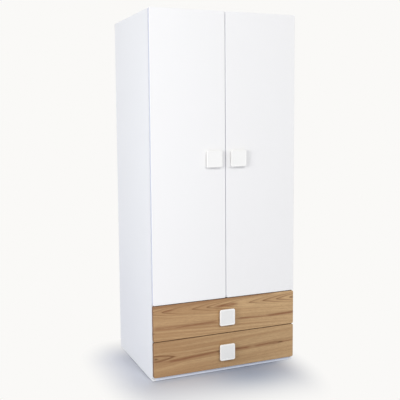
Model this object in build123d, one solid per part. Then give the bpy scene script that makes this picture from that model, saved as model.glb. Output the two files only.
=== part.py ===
"""A white two-door wardrobe over two wide drawers, built as a flat-pack cabinet.

Millimetres. X runs to the right, Y to the back, Z up from the floor. The origin is on the floor, in the
middle of the width and of the depth with the knobs. Everything on the left is also made for the right
by mirroring it in the YZ plane.
"""

import os

from build123d import *

# --- Driving dimensions ---------------------------------------------------------------------------

# Case
overall_width = 800.0
overall_height = 1850.0  # floor to the top of the doors
overall_depth = 600.0  # rear edge of the sides to the face of the doors
board = 18.0  # case boards, doors and drawer fronts
board_edge_radius = 1.0
door_rise = 4.0  # the doors stand this much above the top panel
glide_height = 3.0
glide_radius = 8.0
glide_end = 35.0  # from the case's front and rear edge to a glide's axis
glide_nail_radius = 1.2
glide_nail_length = 14.0
rear_rail_height = 100.0

# Fronts
front_gap = 2.5  # air between the case and a closed front
front_reveal = 1.0  # the fronts stop this far inside the sides' outer faces
front_joint = 3.0  # air between neighbouring fronts
front_foot = 25.0  # lower edge of the lower drawer front above the floor
drawer_front_height = 182.0
front_corner_radius = 9.0
front_edge_radius = 2.0

# Back sheets, their grooves and the strip that joins them
sheet = 3.0
sheet_inset = 9.0  # rear edge of the case to the rear face of the sheets
groove_depth = 7.0
groove_slack = 0.25  # on each face of a sheet in its groove
groove_end_slack = 1.0
strip_wall = 1.2
strip_lip = 8.0
strip_web = 1.5

# Hat shelf and hanging rail
hat_space = 260.0  # clear height above the hat shelf
hat_shelf_setback = 20.0
hat_shelf_back_gap = 8.0
hat_shelf_side_slack = 0.5
shelf_pin_radius = 2.5
shelf_pin_head_radius = 3.5
shelf_pin_head_length = 10.0
shelf_pin_depth = 9.0
shelf_pin_inset = 45.0  # from the hat shelf's front and rear edge to a pin
pin_hole_pitch = 32.0
pin_holes_each_way = 2  # spare holes above and below the one in use
rail_radius = 12.5
rail_wall = 1.2
rail_drop = 55.0  # hat shelf's underside to the rail's axis
rail_flange_radius = 24.0
rail_flange = 3.0
rail_collar_wall = 2.5
rail_collar_length = 14.0
rail_screw_circle = 19.5

# Knobs
knob_size = 84.0
knob_corner_radius = 8.0
knob_plate = 8.0
knob_plate_edge_radius = 1.5
knob_border = 7.0
knob_recess = 0.6
knob_foot_size = 46.0
knob_foot = 10.0  # from the front to the back of the plate
knob_drop = 6.0  # below the middle of the front
knob_from_joint = 67.5  # middle of the joint between the doors to the middle of a door's knob
knob_screw_pitch = 32.0
knob_screw_radius = 2.0
knob_screw_grip = 7.0  # length of the screw inside the knob
knob_screw_head_radius = 4.0
knob_screw_head = 2.2

# Hinges
hinge_end = 100.0  # upper and lower edge of a door to the nearest hinge
cup_bore_radius = 17.5
cup_edge = 3.0  # door edge to the cup's bore
cup_bore_depth = 13.0
cup_depth = 12.6
cup_wall = 0.8
cup_flange = 1.2
cup_flange_height = 62.0
cup_flange_width = 31.0
cup_flange_corner = 6.0
cup_flange_from_bore = 3.4  # the flange leaves this much of the bore free beside the door's edge
cup_screw_pitch = 48.0
cup_screw_offset = 9.5  # from the cup's axis, away from the door's edge
ear = 2.0
ear_radius = 2.5
pivot_from_edge = 7.2  # door edge to the hinge pin's axis
pivot_depth = 9.0  # door's inner face to the hinge pin's axis
pin_radius = 1.1
pin_gap = 0.05  # radial, in the knuckle and the ears
knuckle_radius = 2.0
arm_strip = 2.5
arm_strip_below_pin = 1.8
arm_strip_width = 10.0
arm_side_gap = 1.5  # side panel's inner face to the arm's hook
arm_hook_reach = 8.0  # how far the hook runs into the case
arm_height = 5.0
arm_width = 13.0
arm_start = 4.0  # from the case's front edge
arm_end = 62.0
plate_thickness = 2.5
plate_screw_setback = 37.0  # from the case's front edge
plate_screw_pitch = 32.0
plate_wing_width = 16.0
plate_wing_height = 46.0
plate_rib_start = 18.0
plate_rib_end = 60.0
plate_rib_width = 15.0

# Drawer boxes
drawer_board = 15.0
drawer_side_height = 130.0
drawer_bottom_lift = 10.0  # side board's lower edge to the bottom sheet
drawer_cam_end = 24.0  # front end of a side board to its cams
drawer_fitting_margin = 32.0  # side board's lower and upper edge to a fitting
drawer_box_edge_radius = 1.0

# Runners
runner_length = 500.0
runner_space = 12.5  # between a side panel and a drawer side
runner_steel = 1.2
runner_lift = 15.0  # lower edge of the drawer front to the runner's underside
runner_front_setback = 2.0  # case front edge to the runner channel
runner_screw_front = 80.0  # channel's front end to its first screw
runner_screw_rear = 40.0  # channel's rear end to its last screw
profile_setback = 0.5  # drawer front to the drawer's own runner profile
channel_reach = 10.8
channel_height = 25.4
channel_roof_start = 34.0  # the channel's roof starts behind the front roller
profile_foot_width = 13.0
profile_flange_from_panel = 3.2
profile_screw_front = 50.0  # profile's front end to its first screw
profile_screw_rear = 75.0
profile_screw_inset = 5.0  # drawer side's outer face to the screws
roller_width = 6.6
roller_from_panel = 3.6
front_roller_radius = 12.0
rear_roller_radius = 11.0
front_roller_setback = 16.0
rear_roller_setback = 14.0
rolling_gap = 0.3
axle_radius = 2.1
axle_gap = 0.1
axle_collar_radius = 3.2
axle_head = 0.9
axle_head_radius = 3.0
roller_counterbore = 1.3
roller_spoke_hole_radius = 1.8
roller_spoke_circle = 6.8
drawer_travel = 400.0
stop_height = 3.3
stop_thickness = 3.0
stop_gap = 0.5

# Fasteners
cam_radius = 7.5
cam_depth = 12.5
cam_setback = 34.0  # end of a panel to its cam
fastener_gap = 0.1  # radial, between a fastener and its hole
bolt_radius = 3.5
bolt_bore_radius = 4.0
bolt_thread_radius = 2.5
bolt_thread = 11.0
dowel_radius = 4.0
dowel_in_side = 11.0
dowel_in_panel = 20.0
fitting_front = 60.0  # case front edge to the first cam
fitting_rear = 80.0  # case rear edge to the last cam
dowel_from_cam = 32.0
screw_radius = 1.7
screw_length = 14.0
screw_head_radius = 3.5
screw_head = 2.0
screw_hole_gap = 0.15
cross_slot = 0.9
cross_slot_depth = 1.0
back_screw_length = 40.0
bumper_radius = 3.0
bumper_slack = 0.3  # what a closed front stays off its bumper
bumper_from_joint = 30.0
bumper_below_top = 12.0

# Wall brackets
wall_bracket_pitch = 600.0
wall_bracket_steel = 2.0
wall_bracket_leg = 30.0
wall_bracket_width = 18.0
wall_hole_radius = 2.75
wall_hole_drop = 17.0  # top panel's underside to the hole's axis
wall_bracket_screw_setback = 12.0

# --- Places that follow from them -----------------------------------------------------------------

half_width = overall_width / 2
inner_half = half_width - board

door_face_y = -(overall_depth + knob_foot + knob_plate) / 2 + knob_foot + knob_plate
door_back_y = door_face_y + board
case_front_y = door_back_y + front_gap
case_back_y = door_face_y + overall_depth

case_top = overall_height - door_rise
under_top = case_top - board
bottom_top = glide_height + board

lower_front_foot = front_foot
upper_front_foot = lower_front_foot + drawer_front_height + front_joint
door_foot = upper_front_foot + drawer_front_height + front_joint
door_height = overall_height - door_foot
front_width = 2 * (half_width - front_reveal)
door_width = (front_width - front_joint) / 2
door_middle_x = (front_joint + door_width) / 2
divider_middle = door_foot - front_joint / 2
divider_low = divider_middle - board / 2
divider_top = divider_middle + board / 2

sheet_back_y = case_back_y - sheet_inset
sheet_front_y = sheet_back_y - sheet
strip_front_y = sheet_front_y - groove_slack / 2 - strip_wall
strip_back_y = sheet_back_y + groove_slack / 2 + strip_wall
divider_back_y = strip_front_y - groove_slack
rear_rail_y = (sheet_front_y - groove_slack - board, sheet_front_y - groove_slack)
rear_rail_low = under_top - rear_rail_height

hat_shelf_top = under_top - hat_space
hat_shelf_low = hat_shelf_top - board
hat_shelf_y = (case_front_y + hat_shelf_setback, sheet_front_y - hat_shelf_back_gap)
shelf_pin_z = hat_shelf_low - shelf_pin_head_radius
shelf_pin_y = (hat_shelf_y[0] + shelf_pin_inset, hat_shelf_y[1] - shelf_pin_inset)
rail_y = (case_front_y + sheet_front_y) / 2
rail_z = hat_shelf_low - rail_drop
rail_collar_bore = rail_radius + fastener_gap

door_edge_x = -half_width + front_reveal
cup_x = door_edge_x + cup_edge + cup_bore_radius
cup_radius = cup_bore_radius - fastener_gap
cup_inner_radius = cup_radius - cup_wall
cup_floor_y = door_back_y - cup_depth
pivot_x = door_edge_x + pivot_from_edge
pivot_y = door_back_y - pivot_depth
pin_bore_radius = pin_radius + pin_gap
hook_x = (-inner_half + arm_side_gap, -inner_half + arm_side_gap + arm_strip)
strip_y = (pivot_y - arm_strip_below_pin, pivot_y - arm_strip_below_pin + arm_strip)
hinge_heights = (
    door_foot + hinge_end,
    door_foot + door_height / 2,
    door_foot + door_height - hinge_end,
)

drawer_outer_half = inner_half - runner_space
drawer_inner_half = drawer_outer_half - drawer_board
drawer_back_y = door_back_y + runner_length
channel_front_y = case_front_y + runner_front_setback
channel_back_y = channel_front_y + runner_length
profile_front_y = door_back_y + profile_setback
profile_back_y = profile_front_y + runner_length
front_roller_y = channel_front_y + front_roller_setback
rear_roller_y = profile_back_y - rear_roller_setback
front_roller_z = channel_height + runner_steel / 2 - front_roller_radius
profile_flange_z = front_roller_z + front_roller_radius + rolling_gap
profile_height = profile_flange_z + runner_steel
rear_roller_z = runner_steel + rolling_gap + rear_roller_radius
roller_x = (roller_from_panel, roller_from_panel + roller_width)
profile_x = (runner_space - runner_steel, runner_space)

cam_y = (case_front_y + fitting_front, case_back_y - fitting_rear)
dowel_y = (cam_y[0] + dowel_from_cam, cam_y[1] - dowel_from_cam)
rear_rail_middle_y = (rear_rail_y[0] + rear_rail_y[1]) / 2
rear_rail_cam_z = rear_rail_low + rear_rail_height / 4
rear_rail_dowel_z = under_top - rear_rail_height / 4
wall_hole_z = under_top - wall_hole_drop
wall_bracket_y = (rear_rail_y[0] - wall_bracket_steel, rear_rail_y[0])
wall_bracket_screw_y = rear_rail_y[0] - wall_bracket_leg + wall_bracket_screw_setback


# --- Shapes used by several parts -----------------------------------------------------------------


def block(x, y, z):
    """A box given by its low and high place along each axis."""
    size = [span[1] - span[0] for span in (x, y, z)]
    middle = [(span[0] + span[1]) / 2 for span in (x, y, z)]
    return Pos(*middle) * Box(*size)


def rod(axis, centre, radius, span):
    """A cylinder along an axis; centre holds its place on the other two axes, in X, Y, Z order."""
    middle = (span[0] + span[1]) / 2
    body = Cylinder(radius, abs(span[1] - span[0]))
    if axis == "X":
        return Pos(middle, *centre) * Rot(0, 90, 0) * body
    if axis == "Y":
        return Pos(centre[0], middle, centre[1]) * Rot(90, 0, 0) * body
    return Pos(*centre, middle) * body


def around(middle, width):
    """The low and high end of a width about its middle."""
    return (middle - width / 2, middle + width / 2)


def flipped(shapes):
    """The same shapes on the other side of the wardrobe."""
    return [mirror(shape, about=Plane.YZ) for shape in shapes]


def both_sides(shapes):
    return shapes + flipped(shapes)


def square_plate(size, corner, thickness, middle, back_y):
    """A plate with rounded corners that stands upright and faces the front."""
    outline = Plane.XZ * RectangleRounded(size[0], size[1], corner)
    return Pos(middle[0], back_y, middle[1]) * extrude(outline, amount=thickness)


def headed_screw(radius, length, head_radius, head):
    """A screw along Z: its head stands on the plane Z = 0 and its shank hangs below it."""
    top = Pos(0, 0, head / 2) * Cylinder(head_radius, head)
    top = fillet(top.edges().group_by(Axis.Z)[-1], head / 3)
    slot = Box(cross_slot, head_radius, cross_slot_depth)
    cross = Pos(0, 0, head - cross_slot_depth / 2) * (slot + Rot(0, 0, 90) * slot)
    return top - cross + Pos(0, 0, -length / 2) * Cylinder(radius, length)


def wood_screw(point, toward, length=screw_length):
    """A wood screw whose head sits at a point and whose shank runs toward an axis direction."""
    turn = {
        "-X": Rot(0, 90, 0),
        "+X": Rot(0, -90, 0),
        "-Y": Rot(-90, 0, 0),
        "+Z": Rot(180, 0, 0),
    }[toward]
    screw = headed_screw(screw_radius, length, screw_head_radius, screw_head)
    return Pos(*point) * turn * screw


# --- Case -----------------------------------------------------------------------------------------


def side_fitting_places():
    """Y and Z of the cam bolts and of the dowels that enter a side panel."""
    levels = (glide_height + board / 2, divider_middle, case_top - board / 2)
    bolts = [(y, z) for z in levels for y in cam_y]
    dowels = [(y, z) for z in levels for y in dowel_y]
    bolts.append((rear_rail_middle_y, rear_rail_cam_z))
    dowels.append((rear_rail_middle_y, rear_rail_dowel_z))
    return bolts, dowels


def glide_places():
    """X and Y of the glides under the left side panel and under the middle of the bottom panel."""
    ends = (case_front_y + glide_end, case_back_y - glide_end)
    side = [(-half_width + board / 2, y) for y in (ends[0], sum(ends) / 2, ends[1])]
    return side, [(0.0, y) for y in ends]


def side_screw_places():
    """Y and Z of the wood screws in the left side panel, with what each goes through first."""
    places = []
    for z in hinge_heights:
        for step in (-plate_screw_pitch / 2, plate_screw_pitch / 2):
            places.append((case_front_y + plate_screw_setback, z + step, plate_thickness))
    for z in (rail_z - rail_screw_circle, rail_z + rail_screw_circle):
        places.append((rail_y, z, rail_flange))
    for foot in (lower_front_foot, upper_front_foot):
        for y in runner_screw_places():
            places.append((y, foot + runner_lift + channel_height / 2, runner_steel))
    return places


def runner_screw_places():
    first = channel_front_y + runner_screw_front
    last = channel_back_y - runner_screw_rear
    return (first, (first + last) / 2, last)


def shelf_pin_holes():
    steps = range(-pin_holes_each_way, pin_holes_each_way + 1)
    return [(y, shelf_pin_z + pin_hole_pitch * step) for y in shelf_pin_y for step in steps]


def side_panel():
    """The left side panel, with every hole that is drilled in it."""
    panel = block(
        (-half_width, -inner_half), (case_front_y, case_back_y), (glide_height, case_top)
    )
    panel = fillet(panel.edges().filter_by(Axis.Z), board_edge_radius)
    bolts, dowels = side_fitting_places()
    inner = -inner_half
    cuts = [sheet_groove((inner - groove_depth, inner), (glide_height, case_top))]
    cuts += [rod("X", place, bolt_thread_radius, (inner - bolt_thread, inner)) for place in bolts]
    cuts += [rod("X", place, dowel_radius, (inner - dowel_in_side, inner)) for place in dowels]
    for y, z, through in side_screw_places():
        depth = screw_length - through
        cuts.append(rod("X", (y, z), screw_radius + screw_hole_gap, (inner - depth, inner)))
    for place in shelf_pin_holes():
        cuts.append(rod("X", place, shelf_pin_radius, (inner - shelf_pin_depth, inner)))
    for place in glide_places()[0]:
        cuts.append(glide_nail_hole(place))
    return panel - cuts


def sheet_groove(x, z):
    """The slot for a back sheet."""
    return block(x, (sheet_front_y - groove_slack, sheet_back_y + groove_slack), z)


def glide_nail_hole(place):
    high = glide_height + glide_nail_length
    return rod("Z", place, glide_nail_radius + fastener_gap, (glide_height, high))


def cam_bore(cam):
    """The cut for a cam, its bolt and its neighbouring dowel, all at the left end of a panel."""
    bolt_at, bore = cam
    return [bore, rod("X", bolt_at, bolt_bore_radius, (-inner_half, -inner_half + cam_setback))]


def level_cams(z, from_below):
    """Left end of a level panel: for each cam, the bolt's Y and Z and the cam's own bore."""
    span = (z - board / 2, z - board / 2 + cam_depth)
    if not from_below:
        span = (z + board / 2 - cam_depth, z + board / 2)
    x = -inner_half + cam_setback
    return [((y, z), rod("Z", (x, y), cam_radius, span)) for y in cam_y]


def rear_rail_cams():
    """The rear rail has one cam at each end, sunk in its front face."""
    x = -inner_half + cam_setback
    span = (rear_rail_y[0], rear_rail_y[0] + cam_depth)
    bore = rod("Y", (x, rear_rail_cam_z), cam_radius, span)
    return [((rear_rail_middle_y, rear_rail_cam_z), bore)]


def end_cuts(cams, dowels):
    """What is drilled in both ends of a panel that stands between the sides."""
    cuts = [cut for cam in cams for cut in cam_bore(cam)]
    for place in dowels:
        cuts.append(rod("X", place, dowel_radius, (-inner_half, -inner_half + dowel_in_panel)))
    return both_sides(cuts)


def level_panel(middle_z, back_y, from_below):
    """A board between the sides, fixed to both with cams and dowels."""
    panel = block((-inner_half, inner_half), (case_front_y, back_y), around(middle_z, board))
    panel = fillet(panel.edges().group_by(Axis.Y)[0].filter_by(Axis.X), board_edge_radius)
    dowels = [(y, middle_z) for y in dowel_y]
    return panel - end_cuts(level_cams(middle_z, from_below), dowels)


def top_panel():
    """The top panel: its underside is grooved for the back sheet and takes the brackets' screws."""
    panel = level_panel(case_top - board / 2, case_back_y, True)
    groove = sheet_groove((-inner_half, inner_half), (under_top, under_top + groove_depth))
    depth = screw_length - wall_bracket_steel
    radius = screw_radius + screw_hole_gap
    holes = [
        rod("Z", (x, wall_bracket_screw_y), radius, (under_top, under_top + depth))
        for x in wall_bracket_middles()
    ]
    return panel - [groove, *holes]


def bottom_panel():
    panel = level_panel(glide_height + board / 2, case_back_y, False)
    groove = sheet_groove((-inner_half, inner_half), (bottom_top - groove_depth, bottom_top))
    return panel - [groove, *[glide_nail_hole(place) for place in glide_places()[1]]]


def divider_shelf():
    """The fixed shelf between the drawers and the hanging space."""
    return level_panel(divider_middle, divider_back_y, True)


def hat_shelf():
    half = inner_half - hat_shelf_side_slack
    shelf = block((-half, half), hat_shelf_y, (hat_shelf_low, hat_shelf_top))
    return fillet(shelf.edges().group_by(Axis.Y)[0].filter_by(Axis.X), board_edge_radius)


def rear_rail():
    """The upright board under the top panel that the wardrobe is held to the wall by."""
    rail = block((-inner_half, inner_half), rear_rail_y, (rear_rail_low, under_top))
    dowels = [(rear_rail_middle_y, rear_rail_dowel_z)]
    return rail - end_cuts(rear_rail_cams(), dowels) - wall_holes(rear_rail_y)


def wall_bracket_middles():
    return (-wall_bracket_pitch / 2, wall_bracket_pitch / 2)


def wall_holes(y):
    return [rod("Y", (x, wall_hole_z), wall_hole_radius, y) for x in wall_bracket_middles()]


def back_sheet(low, high):
    """One of the two thin sheets that close the back."""
    half = inner_half + groove_depth - groove_end_slack
    return block((-half, half), (sheet_front_y, sheet_back_y), (low, high))


def back_panel_upper():
    high = under_top + groove_depth - groove_end_slack
    panel = back_sheet(divider_middle + strip_web / 2, high)
    return panel - wall_holes((sheet_front_y, sheet_back_y))


def back_panel_lower():
    low = bottom_top - groove_depth + groove_end_slack
    return back_sheet(low, divider_middle - strip_web / 2)


def back_panel_joiner():
    """The H-shaped strip that holds the two back sheets edge to edge."""
    half = inner_half - hat_shelf_side_slack
    height = strip_web + 2 * strip_lip
    body = block((-half, half), (strip_front_y, strip_back_y), around(divider_middle, height))
    slot_y = (strip_front_y + strip_wall, strip_back_y - strip_wall)
    above = (divider_middle + strip_web / 2, divider_middle + height / 2)
    below = (divider_middle - height / 2, divider_middle - strip_web / 2)
    return body - [block((-half, half), slot_y, z) for z in (above, below)]


def floor_glides():
    """Nail-on glides: three under each side panel and two under the bottom panel."""
    side, middle = glide_places()
    glides = both_sides([floor_glide(place) for place in side])
    return glides + [floor_glide(place) for place in middle]


def floor_glide(place):
    foot = rod("Z", place, glide_radius, (0, glide_height))
    foot = fillet(foot.edges().group_by(Axis.Z)[0], glide_height / 3)
    high = glide_height + glide_nail_length
    return foot + rod("Z", place, glide_nail_radius, (glide_height, high))


# --- Fasteners of the case ------------------------------------------------------------------------


def all_cams():
    """Every cam at the left ends of the panels: the bolt's place, the bore and its axis."""
    cams = [(cam, "Z") for cam in level_cams(glide_height + board / 2, False)]
    cams += [(cam, "Z") for cam in level_cams(divider_middle, True)]
    cams += [(cam, "Z") for cam in level_cams(case_top - board / 2, True)]
    cams += [(cam, "Y") for cam in rear_rail_cams()]
    return cams


def cam_drum(bore, axis):
    """A cam in its bore: a short drum with a cross slot in each end."""
    drum = Cylinder(cam_radius - fastener_gap, cam_depth)
    arm = Box(cross_slot * 2, cam_radius, cross_slot_depth)
    cross = arm + Rot(0, 0, 90) * arm
    height = (cam_depth - cross_slot_depth) / 2
    turn = {"Z": Rot(0, 0, 0), "Y": Rot(90, 0, 0), "X": Rot(0, 90, 0)}[axis]
    drum = drum - [Pos(0, 0, height) * cross, Pos(0, 0, -height) * cross]
    return Pos(*bore.center()) * turn * drum


def cam_mouth(axis, place, face, setback):
    """The way into a cam for its bolt, which starts at the face of the board it is screwed in."""
    return rod(axis, place, bolt_bore_radius, (face, face + setback + bolt_bore_radius))


def cam_housings():
    drums = []
    for (bolt_at, bore), axis in all_cams():
        drums.append(cam_drum(bore, axis) - cam_mouth("X", bolt_at, -inner_half, cam_setback))
    return both_sides(drums)


def cam_bolt(axis, place, face, setback):
    """A bolt screwed into a board at its face, whose head is caught by a cam further on."""
    neck = face + setback - bolt_radius
    thread = rod(axis, place, bolt_thread_radius - fastener_gap, (face - bolt_thread, face))
    shank = rod(axis, place, bolt_radius, (face, neck - bolt_radius))
    waist = rod(axis, place, bolt_thread_radius, (neck - bolt_radius, neck))
    head = rod(axis, place, bolt_radius, (neck, neck + bolt_radius))
    return thread + shank + waist + head


def cam_bolts():
    places = side_fitting_places()[0]
    return both_sides([cam_bolt("X", place, -inner_half, cam_setback) for place in places])


def wood_dowels():
    span = (-inner_half - dowel_in_side, -inner_half + dowel_in_panel)
    radius = dowel_radius - fastener_gap
    return both_sides([rod("X", place, radius, span) for place in side_fitting_places()[1]])


def shelf_pins():
    """Four pins that the hat shelf lies on."""
    pins = []
    for y in shelf_pin_y:
        place = (y, shelf_pin_z)
        stem = (-inner_half - shelf_pin_depth, -inner_half)
        head = (-inner_half, -inner_half + shelf_pin_head_length)
        pin = rod("X", place, shelf_pin_radius - fastener_gap, stem)
        pins.append(pin + rod("X", place, shelf_pin_head_radius, head))
    return both_sides(pins)


def case_screws():
    """Every wood screw that holds a fitting to the case."""
    side = []
    for y, z, through in side_screw_places():
        side.append(wood_screw((-inner_half + through, y, z), "-X"))
    top = []
    for x in wall_bracket_middles():
        top.append(wood_screw((x, wall_bracket_screw_y, under_top - wall_bracket_steel), "+Z"))
    return both_sides(side) + top


def screw_clearance(axis, place, span):
    return rod(axis, place, screw_radius + screw_hole_gap, span)


# --- Rail and wall brackets -----------------------------------------------------------------------


def hanging_rail():
    half = inner_half - rail_flange
    tube = rod("X", (rail_y, rail_z), rail_radius, (-half, half))
    return tube - rod("X", (rail_y, rail_z), rail_radius - rail_wall, (-half, half))


def rail_bracket():
    """The left socket of the hanging rail: a flange with a collar and two screw holes."""
    place = (rail_y, rail_z)
    flange_x = (-inner_half, -inner_half + rail_flange)
    collar_x = (flange_x[1], flange_x[1] + rail_collar_length)
    flange = rod("X", place, rail_flange_radius, flange_x)
    flange = fillet(flange.edges().group_by(Axis.X)[-1], rail_flange / 3)
    collar = rod("X", place, rail_collar_bore + rail_collar_wall, collar_x)
    holes = [
        screw_clearance("X", (rail_y, z), flange_x)
        for z in (rail_z - rail_screw_circle, rail_z + rail_screw_circle)
    ]
    return flange + collar - [rod("X", place, rail_collar_bore, collar_x), *holes]


def rail_brackets():
    return both_sides([rail_bracket()])


def wall_brackets():
    """Two steel angles under the top panel, whose upright legs carry the wall screws."""
    brackets = []
    for x in wall_bracket_middles():
        wide = around(x, wall_bracket_width)
        y = (wall_bracket_y[1] - wall_bracket_leg, wall_bracket_y[1])
        flat = block(wide, y, (under_top - wall_bracket_steel, under_top))
        upright = block(wide, wall_bracket_y, (under_top - wall_bracket_leg, under_top))
        low = (under_top - wall_bracket_steel, under_top)
        hole = screw_clearance("Z", (x, wall_bracket_screw_y), low)
        brackets.append(flat + upright - [hole, *wall_holes(wall_bracket_y)])
    return brackets


def door_bumpers():
    """Soft discs on the case's front edges that the closed fronts come to rest against."""
    span = (case_front_y - front_gap + bumper_slack, case_front_y)
    side_x = -half_width + board / 2
    places = [
        (-bumper_from_joint, case_top - board / 2),
        (-bumper_from_joint, (door_foot + divider_top) / 2),
        (side_x, upper_front_foot + drawer_front_height - bumper_below_top),
        (side_x, lower_front_foot + drawer_front_height - bumper_below_top),
    ]
    return both_sides([rod("Y", place, bumper_radius, span) for place in places])


# --- Fronts and knobs -----------------------------------------------------------------------------


def front_board(width, height, middle):
    """A door or a drawer front, with rounded corners and softened edges."""
    front = square_plate((width, height), front_corner_radius, board, middle, door_back_y)
    edges = front.edges().group_by(Axis.Y)
    return fillet(edges[0] + edges[-1], front_edge_radius)


def knob_screw_middles(middle):
    return [(middle[0] + step, middle[1]) for step in (-knob_screw_pitch / 2, knob_screw_pitch / 2)]


def knob_screw_bores(middle):
    """The holes for a knob's screws through a front."""
    radius = knob_screw_radius + fastener_gap
    span = (door_face_y, door_back_y)
    return [rod("Y", place, radius, span) for place in knob_screw_middles(middle)]


def knob(middle):
    """A square plate with a slightly sunk face, on a smaller square foot."""
    foot_size = (knob_foot_size, knob_foot_size)
    foot = square_plate(foot_size, knob_corner_radius, knob_foot, middle, door_face_y)
    plate_back = door_face_y - knob_foot
    size = (knob_size, knob_size)
    plate = square_plate(size, knob_corner_radius, knob_plate, middle, plate_back)
    edges = plate.edges().group_by(Axis.Y)
    plate = fillet(edges[0] + edges[-1], knob_plate_edge_radius)
    sunk_size = (knob_size - 2 * knob_border, knob_size - 2 * knob_border)
    sunk_y = plate_back - knob_plate + knob_recess
    sunk = square_plate(sunk_size, knob_corner_radius / 2, knob_recess, middle, sunk_y)
    span = (door_face_y - knob_screw_grip, door_face_y)
    radius = knob_screw_radius + fastener_gap / 2
    bores = [rod("Y", place, radius, span) for place in knob_screw_middles(middle)]
    return plate + foot - [sunk, *bores]


def knob_screws(middle):
    """The two machine screws that hold a knob from behind its front."""
    length = board + knob_screw_grip - fastener_gap
    screw = headed_screw(knob_screw_radius, length, knob_screw_head_radius, knob_screw_head)
    screw = Rot(-90, 0, 0) * screw
    return [Pos(x, door_back_y, z) * screw for x, z in knob_screw_middles(middle)]


# --- Doors and hinges -----------------------------------------------------------------------------

door_middle = (-door_middle_x, door_foot + door_height / 2)
door_knob_middle = (-knob_from_joint, door_middle[1] - knob_drop)


def cup_screw_middles(z):
    x = cup_x + cup_screw_offset
    return [(x, z + step) for step in (-cup_screw_pitch / 2, cup_screw_pitch / 2)]


def door():
    """The left door, bored for its three hinge cups, their screws and its knob."""
    panel = front_board(door_width, door_height, door_middle)
    cuts = knob_screw_bores(door_knob_middle)
    for z in hinge_heights:
        span = (door_back_y - cup_bore_depth, door_back_y)
        cuts.append(rod("Y", (cup_x, z), cup_bore_radius, span))
        depth = screw_length - cup_flange
        for place in cup_screw_middles(z):
            cuts.append(screw_clearance("Y", place, (door_back_y - depth, door_back_y)))
    return panel - cuts


def hinge_cup(z):
    """A pressed cup with a flange on the door's inner face and two ears that hold the pin."""
    flange_y = (door_back_y, door_back_y + cup_flange)
    shell = rod("Y", (cup_x, z), cup_radius, (cup_floor_y, door_back_y))
    low_x = door_edge_x + cup_edge + cup_flange_from_bore
    middle = (low_x + cup_flange_width / 2, z)
    size = (cup_flange_width, cup_flange_height)
    flange = square_plate(size, cup_flange_corner, cup_flange, middle, flange_y[1])
    inside = rod("Y", (cup_x, z), cup_inner_radius, (cup_floor_y + cup_wall, flange_y[1]))
    holes = [screw_clearance("Y", place, flange_y) for place in cup_screw_middles(z)]
    ears = hinge_ears(z) & rod("Y", (cup_x, z), cup_radius, (cup_floor_y, door_back_y))
    bore = rod("Z", (pivot_x, pivot_y), pin_bore_radius, around(z, cup_flange_height))
    near_bore = bore & rod("Y", (cup_x, z), cup_inner_radius, (cup_floor_y, door_back_y))
    return shell + flange - [inside, *holes] + (ears - near_bore)


def ear_spans(z):
    gap = arm_strip_width / 2 + 2 * rolling_gap
    return (z - gap - ear, z - gap), (z + gap, z + gap + ear)


def hinge_ears(z):
    """Two upright cheeks above and below the arm, standing on the cup's floor."""
    wide = around(pivot_x, 2 * ear_radius)
    cheeks = [block(wide, (cup_floor_y, pivot_y), span) for span in ear_spans(z)]
    rounds = [rod("Z", (pivot_x, pivot_y), ear_radius, span) for span in ear_spans(z)]
    low, high = cheeks[0] + rounds[0], cheeks[1] + rounds[1]
    return low + high


def hinge_cups():
    return [hinge_cup(z) for z in hinge_heights]


def hinge_pins():
    """The pins that the doors turn on, one in each cup."""
    pins = []
    for z in hinge_heights:
        low, high = ear_spans(z)
        pins.append(rod("Z", (pivot_x, pivot_y), pin_radius, (low[0], high[1])))
    return pins


def hinge_cup_screws():
    screws = []
    for z in hinge_heights:
        for x, height in cup_screw_middles(z):
            screws.append(wood_screw((x, door_back_y + cup_flange, height), "-Y"))
    return screws


def hinge_arm(z):
    """The fixed arm: a hooked strip that reaches round the side panel's edge to the pin."""
    strip_z = around(z, arm_strip_width)
    knuckle = rod("Z", (pivot_x, pivot_y), knuckle_radius, strip_z)
    tongue = block((pivot_x, hook_x[1]), strip_y, strip_z)
    hook = block(hook_x, (strip_y[0], case_front_y + arm_hook_reach), strip_z)
    body_x = (-inner_half + plate_thickness, -inner_half + plate_thickness + arm_height)
    body_y = (case_front_y + arm_start, case_front_y + arm_end)
    body = block(body_x, body_y, around(z, arm_width))
    body = fillet(body.edges().group_by(Axis.X)[-1], board_edge_radius)
    bore = rod("Z", (pivot_x, pivot_y), pin_bore_radius, strip_z)
    return knuckle + tongue + hook + body - bore


def hinge_arms():
    return both_sides([hinge_arm(z) for z in hinge_heights])


def hinge_plate(z):
    """The mounting plate that carries an arm on the side panel."""
    x = (-inner_half, -inner_half + plate_thickness)
    wing_y = around(case_front_y + plate_screw_setback, plate_wing_width)
    wing = block(x, wing_y, around(z, plate_wing_height))
    wing = fillet(wing.edges().filter_by(Axis.X), plate_wing_width / 4)
    rib_y = (case_front_y + plate_rib_start, case_front_y + plate_rib_end)
    rib = block(x, rib_y, around(z, plate_rib_width))
    y = case_front_y + plate_screw_setback
    steps = (-plate_screw_pitch / 2, plate_screw_pitch / 2)
    return wing + rib - [screw_clearance("X", (y, z + step), x) for step in steps]


def hinge_plates():
    return both_sides([hinge_plate(z) for z in hinge_heights])


# --- Drawers --------------------------------------------------------------------------------------


def drawer_foot(foot):
    """The lower edge of a drawer's boards, which stand on the runner profiles."""
    return foot + runner_lift + runner_steel


def drawer_middle(foot):
    return (0.0, foot + drawer_front_height / 2)


def drawer_knob_middle(foot):
    return (0.0, drawer_middle(foot)[1] - knob_drop)


def drawer_fitting_heights(foot):
    low = drawer_foot(foot)
    return (low + drawer_fitting_margin, low + drawer_side_height - drawer_fitting_margin)


def drawer_bottom_z(foot):
    low = drawer_foot(foot) + drawer_bottom_lift
    return (low, low + sheet)


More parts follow.
